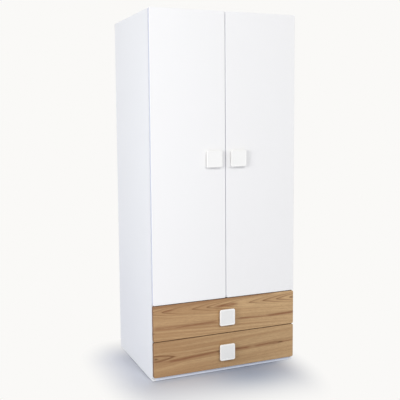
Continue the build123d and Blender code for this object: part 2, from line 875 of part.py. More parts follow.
def bottom_groove(foot, x, y):
    """The slot for a drawer's bottom sheet."""
    low, high = drawer_bottom_z(foot)
    return block(x, y, (low - groove_slack, high + groove_slack))


def drawer_front(foot):
    """A drawer front, bored for its knob and its four bolts and grooved for the bottom sheet."""
    front = front_board(front_width, drawer_front_height, drawer_middle(foot))
    groove_half = drawer_inner_half + groove_depth
    groove_y = (door_back_y - groove_depth, door_back_y)
    bolt_x = -drawer_outer_half + drawer_board / 2
    bolt_y = (door_back_y - bolt_thread, door_back_y)
    bores = [
        rod("Y", (bolt_x, z), bolt_thread_radius, bolt_y) for z in drawer_fitting_heights(foot)
    ]
    cuts = knob_screw_bores(drawer_knob_middle(foot)) + both_sides(bores)
    return front - [bottom_groove(foot, (-groove_half, groove_half), groove_y), *cuts]


def drawer_cam_bores(foot):
    """The cams' bores in the inner face of the left side board."""
    span = (-drawer_inner_half - cam_depth, -drawer_inner_half)
    y = door_back_y + drawer_cam_end
    return [rod("X", (y, z), cam_radius, span) for z in drawer_fitting_heights(foot)]


def drawer_side(foot):
    """The left side board of a drawer."""
    low = drawer_foot(foot)
    x = (-drawer_outer_half, -drawer_inner_half)
    side = block(x, (door_back_y, drawer_back_y), (low, low + drawer_side_height))
    side = fillet(side.edges().group_by(Axis.Z)[-1].filter_by(Axis.Y), drawer_box_edge_radius)
    middle_x = (x[0] + x[1]) / 2
    cuts = drawer_cam_bores(foot)
    for z in drawer_fitting_heights(foot):
        span = (door_back_y, door_back_y + drawer_cam_end)
        cuts.append(rod("Y", (middle_x, z), bolt_bore_radius, span))
        back_y = drawer_back_y - drawer_board / 2
        cuts.append(screw_clearance("X", (back_y, z), x))
    for place in profile_screw_places():
        depth = screw_length - runner_steel
        cuts.append(screw_clearance("Z", place, (low, low + depth)))
    groove_x = (-drawer_inner_half - groove_depth, -drawer_inner_half)
    groove = bottom_groove(foot, groove_x, (door_back_y, drawer_back_y))
    return side - [groove, *cuts]


def profile_screw_places():
    """X and Y of the screws that go up through the left runner profile."""
    x = -drawer_outer_half + profile_screw_inset
    return [(x, profile_front_y + profile_screw_front), (x, profile_back_y - profile_screw_rear)]


def drawer_back(foot):
    low = drawer_foot(foot)
    y = (drawer_back_y - drawer_board, drawer_back_y)
    x = (-drawer_inner_half, drawer_inner_half)
    back = block(x, y, (low, low + drawer_side_height))
    back = fillet(back.edges().group_by(Axis.Z)[-1].filter_by(Axis.X), drawer_box_edge_radius)
    depth = back_screw_length - drawer_board
    bores = [
        screw_clearance("X", (y[0] + drawer_board / 2, z), (x[0], x[0] + depth))
        for z in drawer_fitting_heights(foot)
    ]
    return back - [bottom_groove(foot, x, (y[0], y[0] + groove_depth)), *both_sides(bores)]


def drawer_bottom(foot):
    """The thin sheet that lies in the grooves of all four boards."""
    half = drawer_inner_half + groove_depth - groove_end_slack
    front_y = door_back_y - groove_depth + groove_end_slack
    back_y = drawer_back_y - drawer_board + groove_depth - groove_end_slack
    return block((-half, half), (front_y, back_y), drawer_bottom_z(foot))


def drawer_cam_fittings(foot):
    """The cams in the side boards and the bolts in the front that they pull on."""
    x = -drawer_outer_half + drawer_board / 2
    fittings = []
    for bore, z in zip(drawer_cam_bores(foot), drawer_fitting_heights(foot)):
        mouth = cam_mouth("Y", (x, z), door_back_y, drawer_cam_end)
        fittings.append(cam_drum(bore, "X") - mouth)
        fittings.append(cam_bolt("Y", (x, z), door_back_y, drawer_cam_end))
    return both_sides(fittings)


def drawer_screws(foot):
    """The screws through the side boards into the back, and up through the runner profiles."""
    screws = []
    for z in drawer_fitting_heights(foot):
        point = (-drawer_outer_half, drawer_back_y - drawer_board / 2, z)
        screws.append(wood_screw(point, "+X", back_screw_length))
    for place in profile_screw_places():
        screws.append(wood_screw((*place, foot + runner_lift), "+Z"))
    return both_sides(screws)


# --- Runners --------------------------------------------------------------------------------------


def from_panel(span):
    """Distances from the left side panel's inner face, as places along X."""
    return (-inner_half + span[0], -inner_half + span[1])


def above_runner(foot, span):
    """Heights above a runner's underside, as places along Z."""
    return (foot + runner_lift + span[0], foot + runner_lift + span[1])


def axle(foot, y, z, start, direction):
    """A riveted axle stub: collar, shank and a head sunk in the roller's counterbore.

    It starts on the face of its runner, at a distance from the side panel, and runs along direction.
    """
    height = foot + runner_lift + z
    near = roller_x[0] if direction > 0 else roller_x[1]
    far = roller_x[1] if direction > 0 else roller_x[0]
    collar_end = near - direction * axle_gap
    head_start = far - direction * (roller_counterbore - axle_gap)
    head_end = head_start + direction * axle_head
    steps = [
        (axle_collar_radius, start, collar_end),
        (axle_radius, collar_end, head_start),
        (axle_head_radius, head_start, head_end),
    ]
    stub = None
    for radius, first, last in steps:
        piece = rod("X", (y, height), radius, from_panel(sorted((first, last))))
        stub = piece if stub is None else stub + piece
    return stub


def runner_channel(foot):
    """The left channel on the side panel: web, floor, roof, drawer stop and front axle."""
    y = (channel_front_y, channel_back_y)
    web = block(from_panel((0, runner_steel)), y, above_runner(foot, (0, channel_height)))
    reach = from_panel((0, channel_reach))
    floor = block(reach, y, above_runner(foot, (0, runner_steel)))
    roof_y = (channel_front_y + channel_roof_start, channel_back_y)
    roof_z = above_runner(foot, (channel_height - runner_steel, channel_height))
    roof = block(reach, roof_y, roof_z)
    holes = []
    for place in runner_screw_places():
        height = foot + runner_lift + channel_height / 2
        holes.append(screw_clearance("X", (place, height), from_panel((0, runner_steel))))
    channel = web + floor + roof + drawer_stop(foot) - holes
    return channel + axle(foot, front_roller_y, front_roller_z, runner_steel, 1)


def drawer_stop(foot):
    """The lug on the channel's floor that the rear roller meets when the drawer is fully out."""
    rise = stop_height - rolling_gap
    reach = (rear_roller_radius**2 - (rear_roller_radius - rise) ** 2) ** 0.5
    back_y = rear_roller_y - drawer_travel - reach - stop_gap
    z = above_runner(foot, (runner_steel, runner_steel + stop_height))
    return block(from_panel(roller_x), (back_y - stop_thickness, back_y), z)


def runner_channels():
    channels = [runner_channel(foot) for foot in (lower_front_foot, upper_front_foot)]
    return both_sides(channels)


def runner_profile(foot):
    """The drawer's left profile: foot flange under the side board, web, top flange, rear axle."""
    y = (profile_front_y, profile_back_y)
    web = block(from_panel(profile_x), y, above_runner(foot, (0, profile_height)))
    foot_x = (profile_x[0], profile_x[1] + profile_foot_width)
    under = block(from_panel(foot_x), y, above_runner(foot, (0, runner_steel)))
    top_x = (profile_flange_from_panel, profile_x[1])
    top = block(from_panel(top_x), y, above_runner(foot, (profile_flange_z, profile_height)))
    steel = above_runner(foot, (0, runner_steel))
    holes = [screw_clearance("Z", place, steel) for place in profile_screw_places()]
    profile = web + under + top - holes
    return profile + axle(foot, rear_roller_y, rear_roller_z, profile_x[0], -1)


def roller(foot, radius, y, z, head_side):
    """A nylon roller, counterbored on the side where its axle's head sits, with spoke holes."""
    height = foot + runner_lift + z
    span = from_panel(roller_x)
    wheel = fillet(rod("X", (y, height), radius, span).edges(), axle_head / 2)
    bore = rod("X", (y, height), axle_radius + axle_gap / 2, span)
    sunk = (roller_x[1] - roller_counterbore, roller_x[1])
    if head_side < 0:
        sunk = (roller_x[0], roller_x[0] + roller_counterbore)
    counterbore = rod("X", (y, height), axle_head_radius + axle_gap, from_panel(sunk))
    spokes = [
        rod("X", (y + offset.X, height + offset.Y), roller_spoke_hole_radius, span)
        for offset in (Vector(roller_spoke_circle, 0).rotate(Axis.Z, 60 * k) for k in range(6))
    ]
    return wheel - [bore, counterbore, *spokes]


def front_rollers(foot):
    return both_sides([roller(foot, front_roller_radius, front_roller_y, front_roller_z, 1)])


def rear_rollers(foot):
    return both_sides([roller(foot, rear_roller_radius, rear_roller_y, rear_roller_z, -1)])


# --- The wardrobe ---------------------------------------------------------------------------------


def case_parts():
    side = side_panel()
    return {
        "side_panel_left": [side],
        "side_panel_right": flipped([side]),
        "top_panel": [top_panel()],
        "bottom_panel": [bottom_panel()],
        "divider_shelf": [divider_shelf()],
        "hat_shelf": [hat_shelf()],
        "rear_rail": [rear_rail()],
        "back_panel_upper": [back_panel_upper()],
        "back_panel_lower": [back_panel_lower()],
        "back_panel_joiner": [back_panel_joiner()],
        "floor_glides": floor_glides(),
        "cam_housings": cam_housings(),
        "cam_bolts": cam_bolts(),
        "wood_dowels": wood_dowels(),
        "shelf_pins": shelf_pins(),
        "case_screws": case_screws(),
        "hanging_rail": [hanging_rail()],
        "rail_brackets": rail_brackets(),
        "wall_brackets": wall_brackets(),
        "door_bumpers": door_bumpers(),
        "hinge_plates": hinge_plates(),
        "hinge_arms": hinge_arms(),
        "runner_channels": runner_channels(),
    }


def door_parts():
    left = {
        "door": [door()],
        "hinge_cups": hinge_cups(),
        "hinge_pins": hinge_pins(),
        "hinge_cup_screws": hinge_cup_screws(),
        "door_knob": [knob(door_knob_middle)],
        "door_knob_screws": knob_screws(door_knob_middle),
    }
    parts = {f"{name}_left": shapes for name, shapes in left.items()}
    parts.update({f"{name}_right": flipped(shapes) for name, shapes in left.items()})
    return parts


def drawer_parts(level, foot):
    side = drawer_side(foot)
    parts = {
        "front": [drawer_front(foot)],
        "side_left": [side],
        "side_right": flipped([side]),
        "back": [drawer_back(foot)],
        "bottom": [drawer_bottom(foot)],
        "cam_fittings": drawer_cam_fittings(foot),
        "screws": drawer_screws(foot),
        "runner_profiles": both_sides([runner_profile(foot)]),
        "knob": [knob(drawer_knob_middle(foot))],
        "knob_screws": knob_screws(drawer_knob_middle(foot)),
        "front_rollers": front_rollers(foot),
        "rear_rollers": rear_rollers(foot),
    }
    return {f"{level}_drawer_{name}": shapes for name, shapes in parts.items()}


def write_part(name, shapes):
    """Write a node: one solid, or a group of separate solids."""
    solids = [solid for shape in shapes for solid in shape.solids()]
    export_step(Compound(children=solids) if len(solids) > 1 else solids[0], f"parts/{name}.step")


wardrobe = {
    **case_parts(),
    **door_parts(),
    **drawer_parts("upper", upper_front_foot),
    **drawer_parts("lower", lower_front_foot),
}
os.makedirs("parts", exist_ok=True)
for part_name, part_shapes in wardrobe.items():
    write_part(part_name, part_shapes)
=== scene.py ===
"""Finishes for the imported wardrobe, the small fittings that the solids leave out, and its studio.

Everything is in metres in the wardrobe's own frame: X to its right, Y to the back, Z up.
"""

import math

import bmesh
import bpy
from bpy.props import FloatProperty, FloatVectorProperty, IntProperty, PointerProperty
from mathutils import Matrix, Vector


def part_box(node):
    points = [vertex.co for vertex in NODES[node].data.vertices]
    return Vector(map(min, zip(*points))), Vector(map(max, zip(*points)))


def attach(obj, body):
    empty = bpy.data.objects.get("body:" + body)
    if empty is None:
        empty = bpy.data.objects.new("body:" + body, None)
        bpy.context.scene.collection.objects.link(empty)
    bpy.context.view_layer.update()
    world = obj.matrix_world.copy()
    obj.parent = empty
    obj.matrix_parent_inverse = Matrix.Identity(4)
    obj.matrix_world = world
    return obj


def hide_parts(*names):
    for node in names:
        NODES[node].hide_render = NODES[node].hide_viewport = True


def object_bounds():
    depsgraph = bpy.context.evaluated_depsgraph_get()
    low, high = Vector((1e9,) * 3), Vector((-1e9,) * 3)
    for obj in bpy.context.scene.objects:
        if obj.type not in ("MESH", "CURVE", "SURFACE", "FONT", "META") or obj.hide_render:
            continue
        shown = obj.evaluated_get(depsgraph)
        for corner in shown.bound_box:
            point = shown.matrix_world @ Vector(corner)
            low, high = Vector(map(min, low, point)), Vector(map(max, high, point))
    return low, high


bl_info = {
    "name": "Wardrobe finishes",
    "version": (1, 0, 0),
    "blender": (4, 5, 0),
    "location": "View3D > Sidebar > Wardrobe",
    "description": "Board, oak, metal and plastic finishes, small fittings and a studio",
    "category": "Object",
}

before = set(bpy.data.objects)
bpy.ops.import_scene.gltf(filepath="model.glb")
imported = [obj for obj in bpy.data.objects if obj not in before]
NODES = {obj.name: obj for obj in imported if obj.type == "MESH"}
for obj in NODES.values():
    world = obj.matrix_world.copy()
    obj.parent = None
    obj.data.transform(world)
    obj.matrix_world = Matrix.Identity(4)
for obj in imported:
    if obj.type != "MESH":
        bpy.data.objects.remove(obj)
packed_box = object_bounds()
LEVELS = ("upper", "lower")
SIDES = ("left", "right")
# How far the face of a knob is sunk, in metres.
KNOB_RECESS = 0.0006
# How far from the wardrobe's middle an upright edge of a door is beside its hinges, in metres.
HINGE_SIDE = 0.2
# Corners closer than this are one corner, and a solid whose widths differ by less is round, in metres.
SAME_CORNER = 1e-6
ROUND_WITHIN = 1e-4


# --- Settings -------------------------------------------------------------------------------------


def linear(*display):
    """A display colour of 0 to 255 as the linear colour that shaders take."""
    shares = [value / 255 for value in display]
    return tuple(s / 12.92 if s <= 0.04045 else ((s + 0.055) / 1.055) ** 2.4 for s in shares)


def colour(name, description, *display):
    return FloatVectorProperty(
        name=name, description=description, subtype="COLOR", size=3, min=0.0, max=1.0,
        default=linear(*display),
    )


def length(name, description, default):
    return FloatProperty(
        name=name, description=description, default=default, unit="LENGTH", precision=5
    )


class WardrobeColours(bpy.types.PropertyGroup):
    """Colours of the boards, the wood and the fittings."""

    board: colour("Board", "Melamine face of the case boards", 238, 239, 241)
    # Painted shade: the bluish band stands in for the cool shade and floor light on the strip under the
    # drawers.
    foot_edge_shade: colour("Foot edge", "Band on the front edge of the bottom panel", 236, 242, 254)
    front: colour("Front", "Satin face of the doors", 245, 244, 243)
    front_edge: colour("Front edge", "Bands on the edges of the doors", 242, 243, 247)
    # Painted shade: the darker band beside the hinges stands in for the shadow of the gap between door
    # and case.
    hinge_edge_shade: colour("Hinge edge", "Band on the edge of a door beside its hinges", 208, 211, 226)
    drawer: colour("Drawer board", "Melamine face of the drawer boxes", 233, 233, 231)
    raw: colour("Raw board", "Bare chipboard at the rear edges", 184, 152, 112)
    hardboard: colour("Hardboard", "Bare rear side of the thin sheets", 150, 117, 84)
    lacquer: colour("Lacquer", "Lacquered side of the thin sheets", 234, 234, 232)
    oak_pale: colour("Pale oak", "Early wood between the growth lines", 221, 185, 137)
    oak_mid: colour("Middle oak", "Most of the wood", 192, 153, 109)
    oak_dark: colour("Dark oak", "Late wood along the growth lines", 115, 74, 43)
    oak_red: colour("Red oak", "Reddish heartwood streaks", 134, 87, 56)
    oak_edge: colour("Oak edge", "Bands on the edges of the drawer fronts", 124, 89, 59)
    knob: colour("Knob", "Satin plastic of the knobs", 249, 248, 245)
    steel: colour("Steel", "Nickel and zinc plating", 205, 204, 202)
    epoxy: colour("Epoxy", "Powder coat of the runners", 236, 236, 233)
    nylon: colour("Nylon", "Rollers", 226, 225, 216)
    beech: colour("Beech", "Dowels", 216, 178, 134)
    polyethylene: colour("Polyethylene", "Floor glides", 150, 150, 150)
    silicone: colour("Silicone", "Soft bumpers", 238, 241, 242)


class FittingSizes(bpy.types.PropertyGroup):
    """Sizes of the fittings that are modelled here."""

    cap_overlap: length("Cap overlap", "How far a cover cap reaches past its cam", 0.0011)
    cap_height: length("Cap height", "How far a cover cap stands off the board", 0.0009)
    bumper_dome: length("Bumper dome", "Height of a bumper's crown above its rim", 0.0011)
    adjuster_radius: length("Adjuster radius", "Head of a hinge arm's adjusting screw", 0.0031)
    adjuster_height: length("Adjuster height", "Height of an adjusting screw's head", 0.0012)
    spin_steps: IntProperty(
        name="Spin steps", description="Facets round a turned piece", default=40, min=8
    )


class StudioSettings(bpy.types.PropertyGroup):
    """The camera, the lamps and the floor."""

    camera_place: FloatVectorProperty(
        name="Camera place", description="Where the camera stands", subtype="TRANSLATION",
        default=(-1.4211, -3.3711, 1.3136),
    )
    camera_turn: FloatProperty(
        name="Camera turn", description="How far the camera looks to the right of straight on",
        subtype="ANGLE", default=math.radians(22.554),
    )
    camera_dip: FloatProperty(
        name="Camera dip", description="How far the camera looks down", subtype="ANGLE",
        default=math.radians(5.495),
    )
    camera_roll: FloatProperty(
        name="Camera roll", description="Lean of the camera", subtype="ANGLE",
        default=math.radians(-0.439),
    )
    camera_lens: FloatProperty(
        name="Lens", description="Focal length on a 36 mm sensor", default=60.175,
        subtype="DISTANCE_CAMERA", min=1.0,
    )
    camera_shift: FloatProperty(name="Shift", description="Lens shift along the height", default=-0.04)
    floor_radius: length("Floor radius", "Edge of the floor disc", 14.0)
    floor: colour("Floor", "Pale studio floor", 202, 204, 212)
    floor_shade: colour("Floor shade", "Deepest shadow on the floor, before the drawers", 132, 145, 170)
    # Painted shade: a dark blue floor tone, used only for light, that darkens the foot of the left
    # panel.
    floor_return_shade: colour("Floor return", "What the floor beside the left panel sends up", 0, 63, 149)
    backdrop: colour("Backdrop", "What is seen behind the wardrobe", 250, 249, 247)
    sky: colour("Sky", "Light from all round", 253, 254, 255)
    sky_strength: FloatProperty(
        name="Sky strength", description="Level of the light from all round", default=0.60
    )
    key_power: FloatProperty(
        name="Key lamp", description="Large far lamp in front, high up", default=1540.0, unit="POWER"
    )
    side_power: FloatProperty(
        name="Side lamp", description="Lamp in front on the left", default=80.0, unit="POWER"
    )
    rear_power: FloatProperty(
        name="Rear lamp", description="Lamp behind, high up", default=20.0, unit="POWER"
    )


# --- Shader nodes as expressions ------------------------------------------------------------------


class Wire:
    """An output socket; each operator that it meets in an expression adds a Math node."""

    def __init__(self, finish, socket):
        self.finish = finish
        self.socket = socket

    def __add__(self, other):
        return self.finish.math("ADD", self, other)

    def __radd__(self, other):
        return self.finish.math("ADD", other, self)

    def __sub__(self, other):
        return self.finish.math("SUBTRACT", self, other)

    def __rsub__(self, other):
        return self.finish.math("SUBTRACT", other, self)

    def __mul__(self, other):
        return self.finish.math("MULTIPLY", self, other)

    def __rmul__(self, other):
        return self.finish.math("MULTIPLY", other, self)

    def __truediv__(self, other):
        return self.finish.math("DIVIDE", self, other)

    def __pow__(self, other):
        return self.finish.math("POWER", self, other)

    def __abs__(self):
        return self.finish.math("ABSOLUTE", self)

    def __gt__(self, other):
        return self.finish.math("GREATER_THAN", self, other)

    def __lt__(self, other):
        return self.finish.math("LESS_THAN", self, other)


class Finish:
    """A node material, or a world's node tree, while it is being put together."""

    def __init__(self, name, tree=None):
        if tree is None:
            self.material = bpy.data.materials.new(name)
            self.material.use_nodes = True
            tree = self.material.node_tree
        self.tree = tree
        self.tree.nodes.clear()
        self.at = {}

    def node(self, kind, settings=None, inputs=None, output=0):
        """Add a node: its settings come first, then values or links for its sockets."""
        made = self.tree.nodes.new(kind)
        for key, value in (settings or {}).items():
            if key == "stops":
                self.set_stops(made.color_ramp, value)
            else:
                setattr(made, key, value)
        for key, value in (inputs or {}).items():
            if isinstance(value, Wire):
                self.tree.links.new(value.socket, made.inputs[key])
            else:
                made.inputs[key].default_value = value
        return Wire(self, made.outputs[output]) if made.outputs else made

    @staticmethod
    def set_stops(ramp, stops):
        while len(ramp.elements) < len(stops):
            ramp.elements.new(0.5)
        for element, (position, shade) in zip(ramp.elements, stops):
            element.position = position
            element.color = (shade, shade, shade, 1.0)

    def math(self, operation, *values):
        return self.node("ShaderNodeMath", {"operation": operation}, dict(enumerate(values)))

    def coordinate(self, kind):
        """X, Y and Z of the object's own coordinates or of its normals."""
        if kind not in self.at:
            vector = self.node("ShaderNodeTexCoord", output=kind)
            self.at[kind] = [
                self.node("ShaderNodeSeparateXYZ", inputs={0: vector}, output=axis) for axis in "XYZ"
            ]
        return self.at[kind]

    def position(self):
        """The object's own coordinates, in metres."""
        return self.node("ShaderNodeTexCoord", output="Object")

    def vector(self, x, y, z):
        return self.node("ShaderNodeCombineXYZ", inputs={0: x, 1: y, 2: z})

    def noise(self, at, scale=1.0, detail=2.0, roughness=0.5, distortion=0.0):
        """Noise from 0 to 1, about 0.5 on average."""
        inputs = {
            "Vector": at, "Scale": scale, "Detail": detail, "Roughness": roughness,
            "Distortion": distortion,
        }
        return self.node("ShaderNodeTexNoise", inputs=inputs)

    def cells(self, at, scale):
        """Cells that each have a colour of their own."""
        inputs = {"Vector": at, "Scale": scale}
        return self.node("ShaderNodeTexVoronoi", inputs=inputs, output="Color")

    def ramp(self, value, stops):
        """Grey levels along a value, as a value again."""
        shade = self.node("ShaderNodeValToRGB", {"stops": stops}, {0: value})
        return self.node("ShaderNodeRGBToBW", inputs={0: shade})

    def step(self, value, low, high):
        """0 below low, 1 above high, smooth between; low may be the greater."""
        inputs = {"Value": value, "From Min": low, "From Max": high}
        return self.node("ShaderNodeMapRange", {"interpolation_type": "SMOOTHSTEP"}, inputs)

    def hump(self, value, middle, width):
        """1 at the middle, fading to about a third a width away from it."""
        away = (value - middle) * (1 / width)
        return self.math("EXPONENT", away * away * -1.0)

    def mix(self, share, first, second):
        """The first colour where share is 0, the second where it is 1."""
        inputs = {0: share, 6: as_colour(first), 7: as_colour(second)}
        return self.node("ShaderNodeMix", {"data_type": "RGBA"}, inputs, 2)

    def bump(self, height, depth, strength=1.0):
        """Normals of a surface that rises by depth metres where height is 1."""
        inputs = {"Strength": strength, "Distance": depth, "Height": height}
        return self.node("ShaderNodeBump", inputs=inputs)

    def done(self, base, roughness, normal=None, **constants):
        """End in a Principled shader and return the material."""
        inputs = {"Base Color": as_colour(base), "Roughness": roughness}
        if normal is not None:
            inputs["Normal"] = normal
        inputs.update({key.replace("_", " "): value for key, value in constants.items()})
        shader = self.node("ShaderNodeBsdfPrincipled", inputs=inputs)
        self.node("ShaderNodeOutputMaterial", inputs={"Surface": shader})
        return self.material


def as_colour(value):
    return value if isinstance(value, Wire) else (*value[:3], 1.0)


def shaded(value, share):
    """A colour made darker or lighter by a share."""
    return tuple(min(1.0, channel * share) for channel in value)


# --- Board and sheet finishes ---------------------------------------------------------------------


def chipboard(finish, raw):
    """Bare chipboard: pressed flakes in three browns with dark pits between them."""
    at = finish.position()
    flakes = finish.cells(at, 420.0)
    tone = finish.node("ShaderNodeRGBToBW", inputs={0: flakes})
    pits = finish.step(finish.noise(at, 900.0, 3.0, 0.6), 0.56, 0.70)
    wood = finish.mix(tone, shaded(raw, 0.72), shaded(raw, 1.18))
    return finish.mix(pits, wood, shaded(raw, 0.42)), tone - pits


def melamine(name, face, edge, raw, emboss=0.4):
    """White melamine with a fine pearl emboss; front edges are banded, rear ones bare chipboard."""
    finish = Finish(name)
    at = finish.position()
    towards_wall = finish.coordinate("Normal")[1]
    bare = towards_wall > 0.7
    banded = towards_wall < -0.7
    cloud = finish.noise(at, 2.6, 3.0, 0.55)
    speckle = finish.noise(at, 1500.0, 1.0)
    white = finish.mix(cloud, shaded(face, 0.985), shaded(face, 1.01))
    # The band is the face colour, except on the bottom panel, where it is a painted bluish shade.
    white = finish.mix(banded, white, edge)
    core, relief = chipboard(finish, raw)
    handled = finish.noise(at, 7.0, 4.0, 0.6)
    rough = 0.40 + handled * 0.10 + bare * 0.35
    height = speckle * (1.0 - bare) + relief * bare * 4.0
    return finish.done(
        finish.mix(bare, white, core), rough, finish.bump(height, 0.00004, emboss),
        Specular_IOR_Level=0.42,
    )


def satin_front(name, face, edge, hinge_edge_shade):
    """Smooth satin foil, a little glossier where hands polish it, with greyer bands on the edges; the
    bands beside the hinges are darker still, a painted shade.
    """
    finish = Finish(name)
    nx, _, nz = finish.coordinate("Normal")
    band = finish.step(finish.math("SQRT", nx * nx + nz * nz), 0.5, 0.9)
    # Painted shade: upright edges beside the hinges get a darker band in place of the gap's shadow.
    hinge_shade_mask = finish.step(abs(nx), 0.5, 0.9) * (abs(finish.coordinate("Object")[0]) > HINGE_SIDE)
    at = finish.position()
    cloud = finish.noise(at, 1.7, 2.0, 0.5)
    peel = finish.noise(at, 620.0, 2.0, 0.4)
    rubbed = finish.step(finish.noise(at, 9.0, 4.0, 0.6), 0.35, 0.75)
    white = finish.mix(cloud, shaded(face, 0.99), shaded(face, 1.006))
    white = finish.mix(band, white, finish.mix(hinge_shade_mask, edge, hinge_edge_shade))
    return finish.done(
        white, 0.44 - rubbed * 0.09, finish.bump(peel, 0.00003, 0.35), Specular_IOR_Level=0.4
    )


def thin_sheet(name, lacquer, bare_colour, bare_axis, bare_sign):
    """Hardboard lacquered on one side; the side that faces the wall or the floor is bare."""
    finish = Finish(name)
    at = finish.position()
    facing = finish.coordinate("Normal")[bare_axis] * bare_sign
    bare = facing > 0.5
    fibre = finish.noise(at, 140.0, 5.0, 0.7, 1.5)
    patch = finish.noise(at, 5.0, 4.0, 0.6)
    felt = finish.noise(at, 700.0, 3.0, 0.7)
    brown = finish.mix(fibre, shaded(bare_colour, 0.72), shaded(bare_colour, 1.22))
    brown = finish.mix(finish.step(patch, 0.4, 0.7) * 0.35, brown, shaded(bare_colour, 0.8))
    white = finish.mix(patch, shaded(lacquer, 0.975), lacquer)
    height = felt * (0.25 + bare)
    return finish.done(
        finish.mix(bare, white, brown), 0.38 + bare * 0.34 + felt * 0.08,
        finish.bump(height, 0.00008, 0.5), Specular_IOR_Level=0.4,
    )


# --- Oak ------------------------------------------------------------------------------------------

# Lengths are in metres, from the middle of the drawer front. Arches are growth lines that come to a
# point along one height; an eye is a lens that the lines part round; a streak is a reddish band.
ARCH_SPREAD = 0.0125  # height between the arms of two arches
ARCH_HALF = 0.016  # height over which the lines are arched
LINE_SPACING = 0.0065  # height between the straight lines beyond
LINE_CLOSING = 0.02  # height over which the lines close up to that
FIRST_RING = 100  # keeps every count of growth lines above 0
PALER_RIGHTWARDS = 0.6  # how fast the wood gets paler to the right, a metre
# How dark the wood is from one growth line to the next.
LATE_WOOD = [(0.0, 0.5), (0.05, 0.12), (0.4, 0.0), (0.66, 0.22), (0.86, 0.62), (0.97, 1.0)]
UPPER_FIGURE = {
    "seed": 3.7,
    "tone": 0.96,
    "lines": {"axis": 0.055, "nose": 0.004, "pitch": 0.081, "first": -0.354, "faint": (1, 5)},
    "eyes": [],
    "streaks": [
        {"start": (-0.42, -0.024), "end": (-0.02, -0.026), "width": 0.010, "share": 0.60},
        {"start": (-0.30, -0.030), "end": (-0.03, -0.020), "width": 0.003, "share": 0.70},
        {"start": (0.045, -0.026), "end": (0.42, -0.030), "width": 0.006, "share": 0.65},
        {"start": (0.04, -0.022), "end": (0.17, -0.024), "width": 0.0024, "share": 0.95},
        {"start": (0.22, -0.030), "end": (0.46, -0.026), "width": 0.005, "share": 0.85},
        {"start": (-0.085, 0.053), "end": (0.085, 0.056), "width": 0.0075, "share": 1.0},
        {"start": (-0.37, 0.059), "end": (-0.27, 0.061), "width": 0.0035, "share": 0.95},
        {"start": (-0.46, 0.084), "end": (0.30, 0.088), "width": 0.011, "share": 0.55},
    ],
    "pale": {"middle": 0.005, "width": 0.020, "share": 0.45},
    "knots": [(-0.3965, -0.047, 0.004, 0.003)],
}
LOWER_FIGURE = {
    "seed": 11.3,
    "tone": 0.905,
    "lines": {"axis": -0.25, "nose": 0.004, "pitch": 0.11, "first": 0.0, "faint": ()},
    "eyes": [
        {"x": -0.385, "z": 0.007, "long": 0.090, "tall": 0.0145, "fill": 0.10},
        {"x": 0.285, "z": 0.002, "long": 0.052, "tall": 0.0055, "fill": 0.55},
    ],
    "streaks": [
        {"start": (-0.34, -0.017), "end": (-0.03, 0.000), "width": 0.0065, "share": 0.95},
        {"start": (-0.42, -0.010), "end": (-0.20, -0.018), "width": 0.004, "share": 0.60},
        {"start": (-0.20, 0.012), "end": (-0.03, 0.020), "width": 0.003, "share": 0.55},
        {"start": (-0.01, 0.001), "end": (0.16, -0.002), "width": 0.0065, "share": 1.0},
        {"start": (0.14, -0.001), "end": (0.27, 0.002), "width": 0.006, "share": 0.75},
        {"start": (0.30, 0.000), "end": (0.42, 0.004), "width": 0.0025, "share": 0.80},
    ],
    "pale": {"middle": -0.055, "width": 0.018, "share": 0.25},
    "knots": [
        (-0.045, 0.001, 0.010, 0.004), (-0.388, 0.006, 0.012, 0.0042), (0.318, 0.001, 0.013, 0.0034),
    ],
}


def grain_noise(finish, along, across, seed, detail=2.0, roughness=0.5):
    """Noise whose patches are stretched along the grain: along and across are patches a metre."""
    x, y, z = finish.coordinate("Object")
    at = finish.vector(x * along + seed, y * across, z * across)
    return finish.noise(at, 1.0, detail, roughness)


def growth_rings(finish, x, across, lines):
    """Count of growth lines: wide arches about the axis, close and nearly straight lines beyond."""
    off = abs(across - lines["axis"])
    arch = (finish.math("SQRT", off * off + lines["nose"] ** 2) - lines["nose"]) * (1 / ARCH_SPREAD)
    beyond = finish.math("MAXIMUM", off - ARCH_HALF, 0.0)
    close = beyond * beyond / (beyond + LINE_CLOSING) * (1 / LINE_SPACING)
    return arch + close - (x - lines["first"]) * (1 / lines["pitch"]) + FIRST_RING


def part_round_eye(finish, x, across, eye):
    """Bend the growth lines round an eye, as if it pushed them apart."""
    off = across - eye["z"]
    push = finish.hump(x, eye["x"], eye["long"]) * finish.hump(off, 0.0, eye["tall"] * 2.6)
    return off / (1.0 + push * 1.4) + eye["z"]


def eye_rings(finish, x, across, eye):
    """Dark outline of an eye with pointed ends, a fainter one inside it, and its filling."""
    reach_x = abs(x - eye["x"]) * (1 / eye["long"])
    reach_z = abs(across - eye["z"]) * (1 / eye["tall"])
    reach = reach_x ** 1.5 + reach_z ** 1.25
    outline = finish.hump(reach, 1.0, 0.28) + finish.hump(reach, 0.45, 0.12) * 0.35
    return finish.math("MAXIMUM", outline, finish.step(reach, 1.0, 0.3) * eye["fill"])


def streak_share(finish, x, across, streak, seed):
    """How much of a reddish streak is at a point: a ragged band that tapers off at both ends."""
    (x0, z0), (x1, z1) = streak["start"], streak["end"]
    line = (x - x0) * ((z1 - z0) / (x1 - x0)) + z0
    ends = finish.step(x, x0, x0 + 0.05) * finish.step(x, x1, x1 - 0.05)
    ragged = finish.step(grain_noise(finish, 6.0, 170.0, seed, 4.0, 0.6), 0.22, 0.52)
    return finish.hump(across, line, streak["width"]) * ends * ragged * streak["share"]


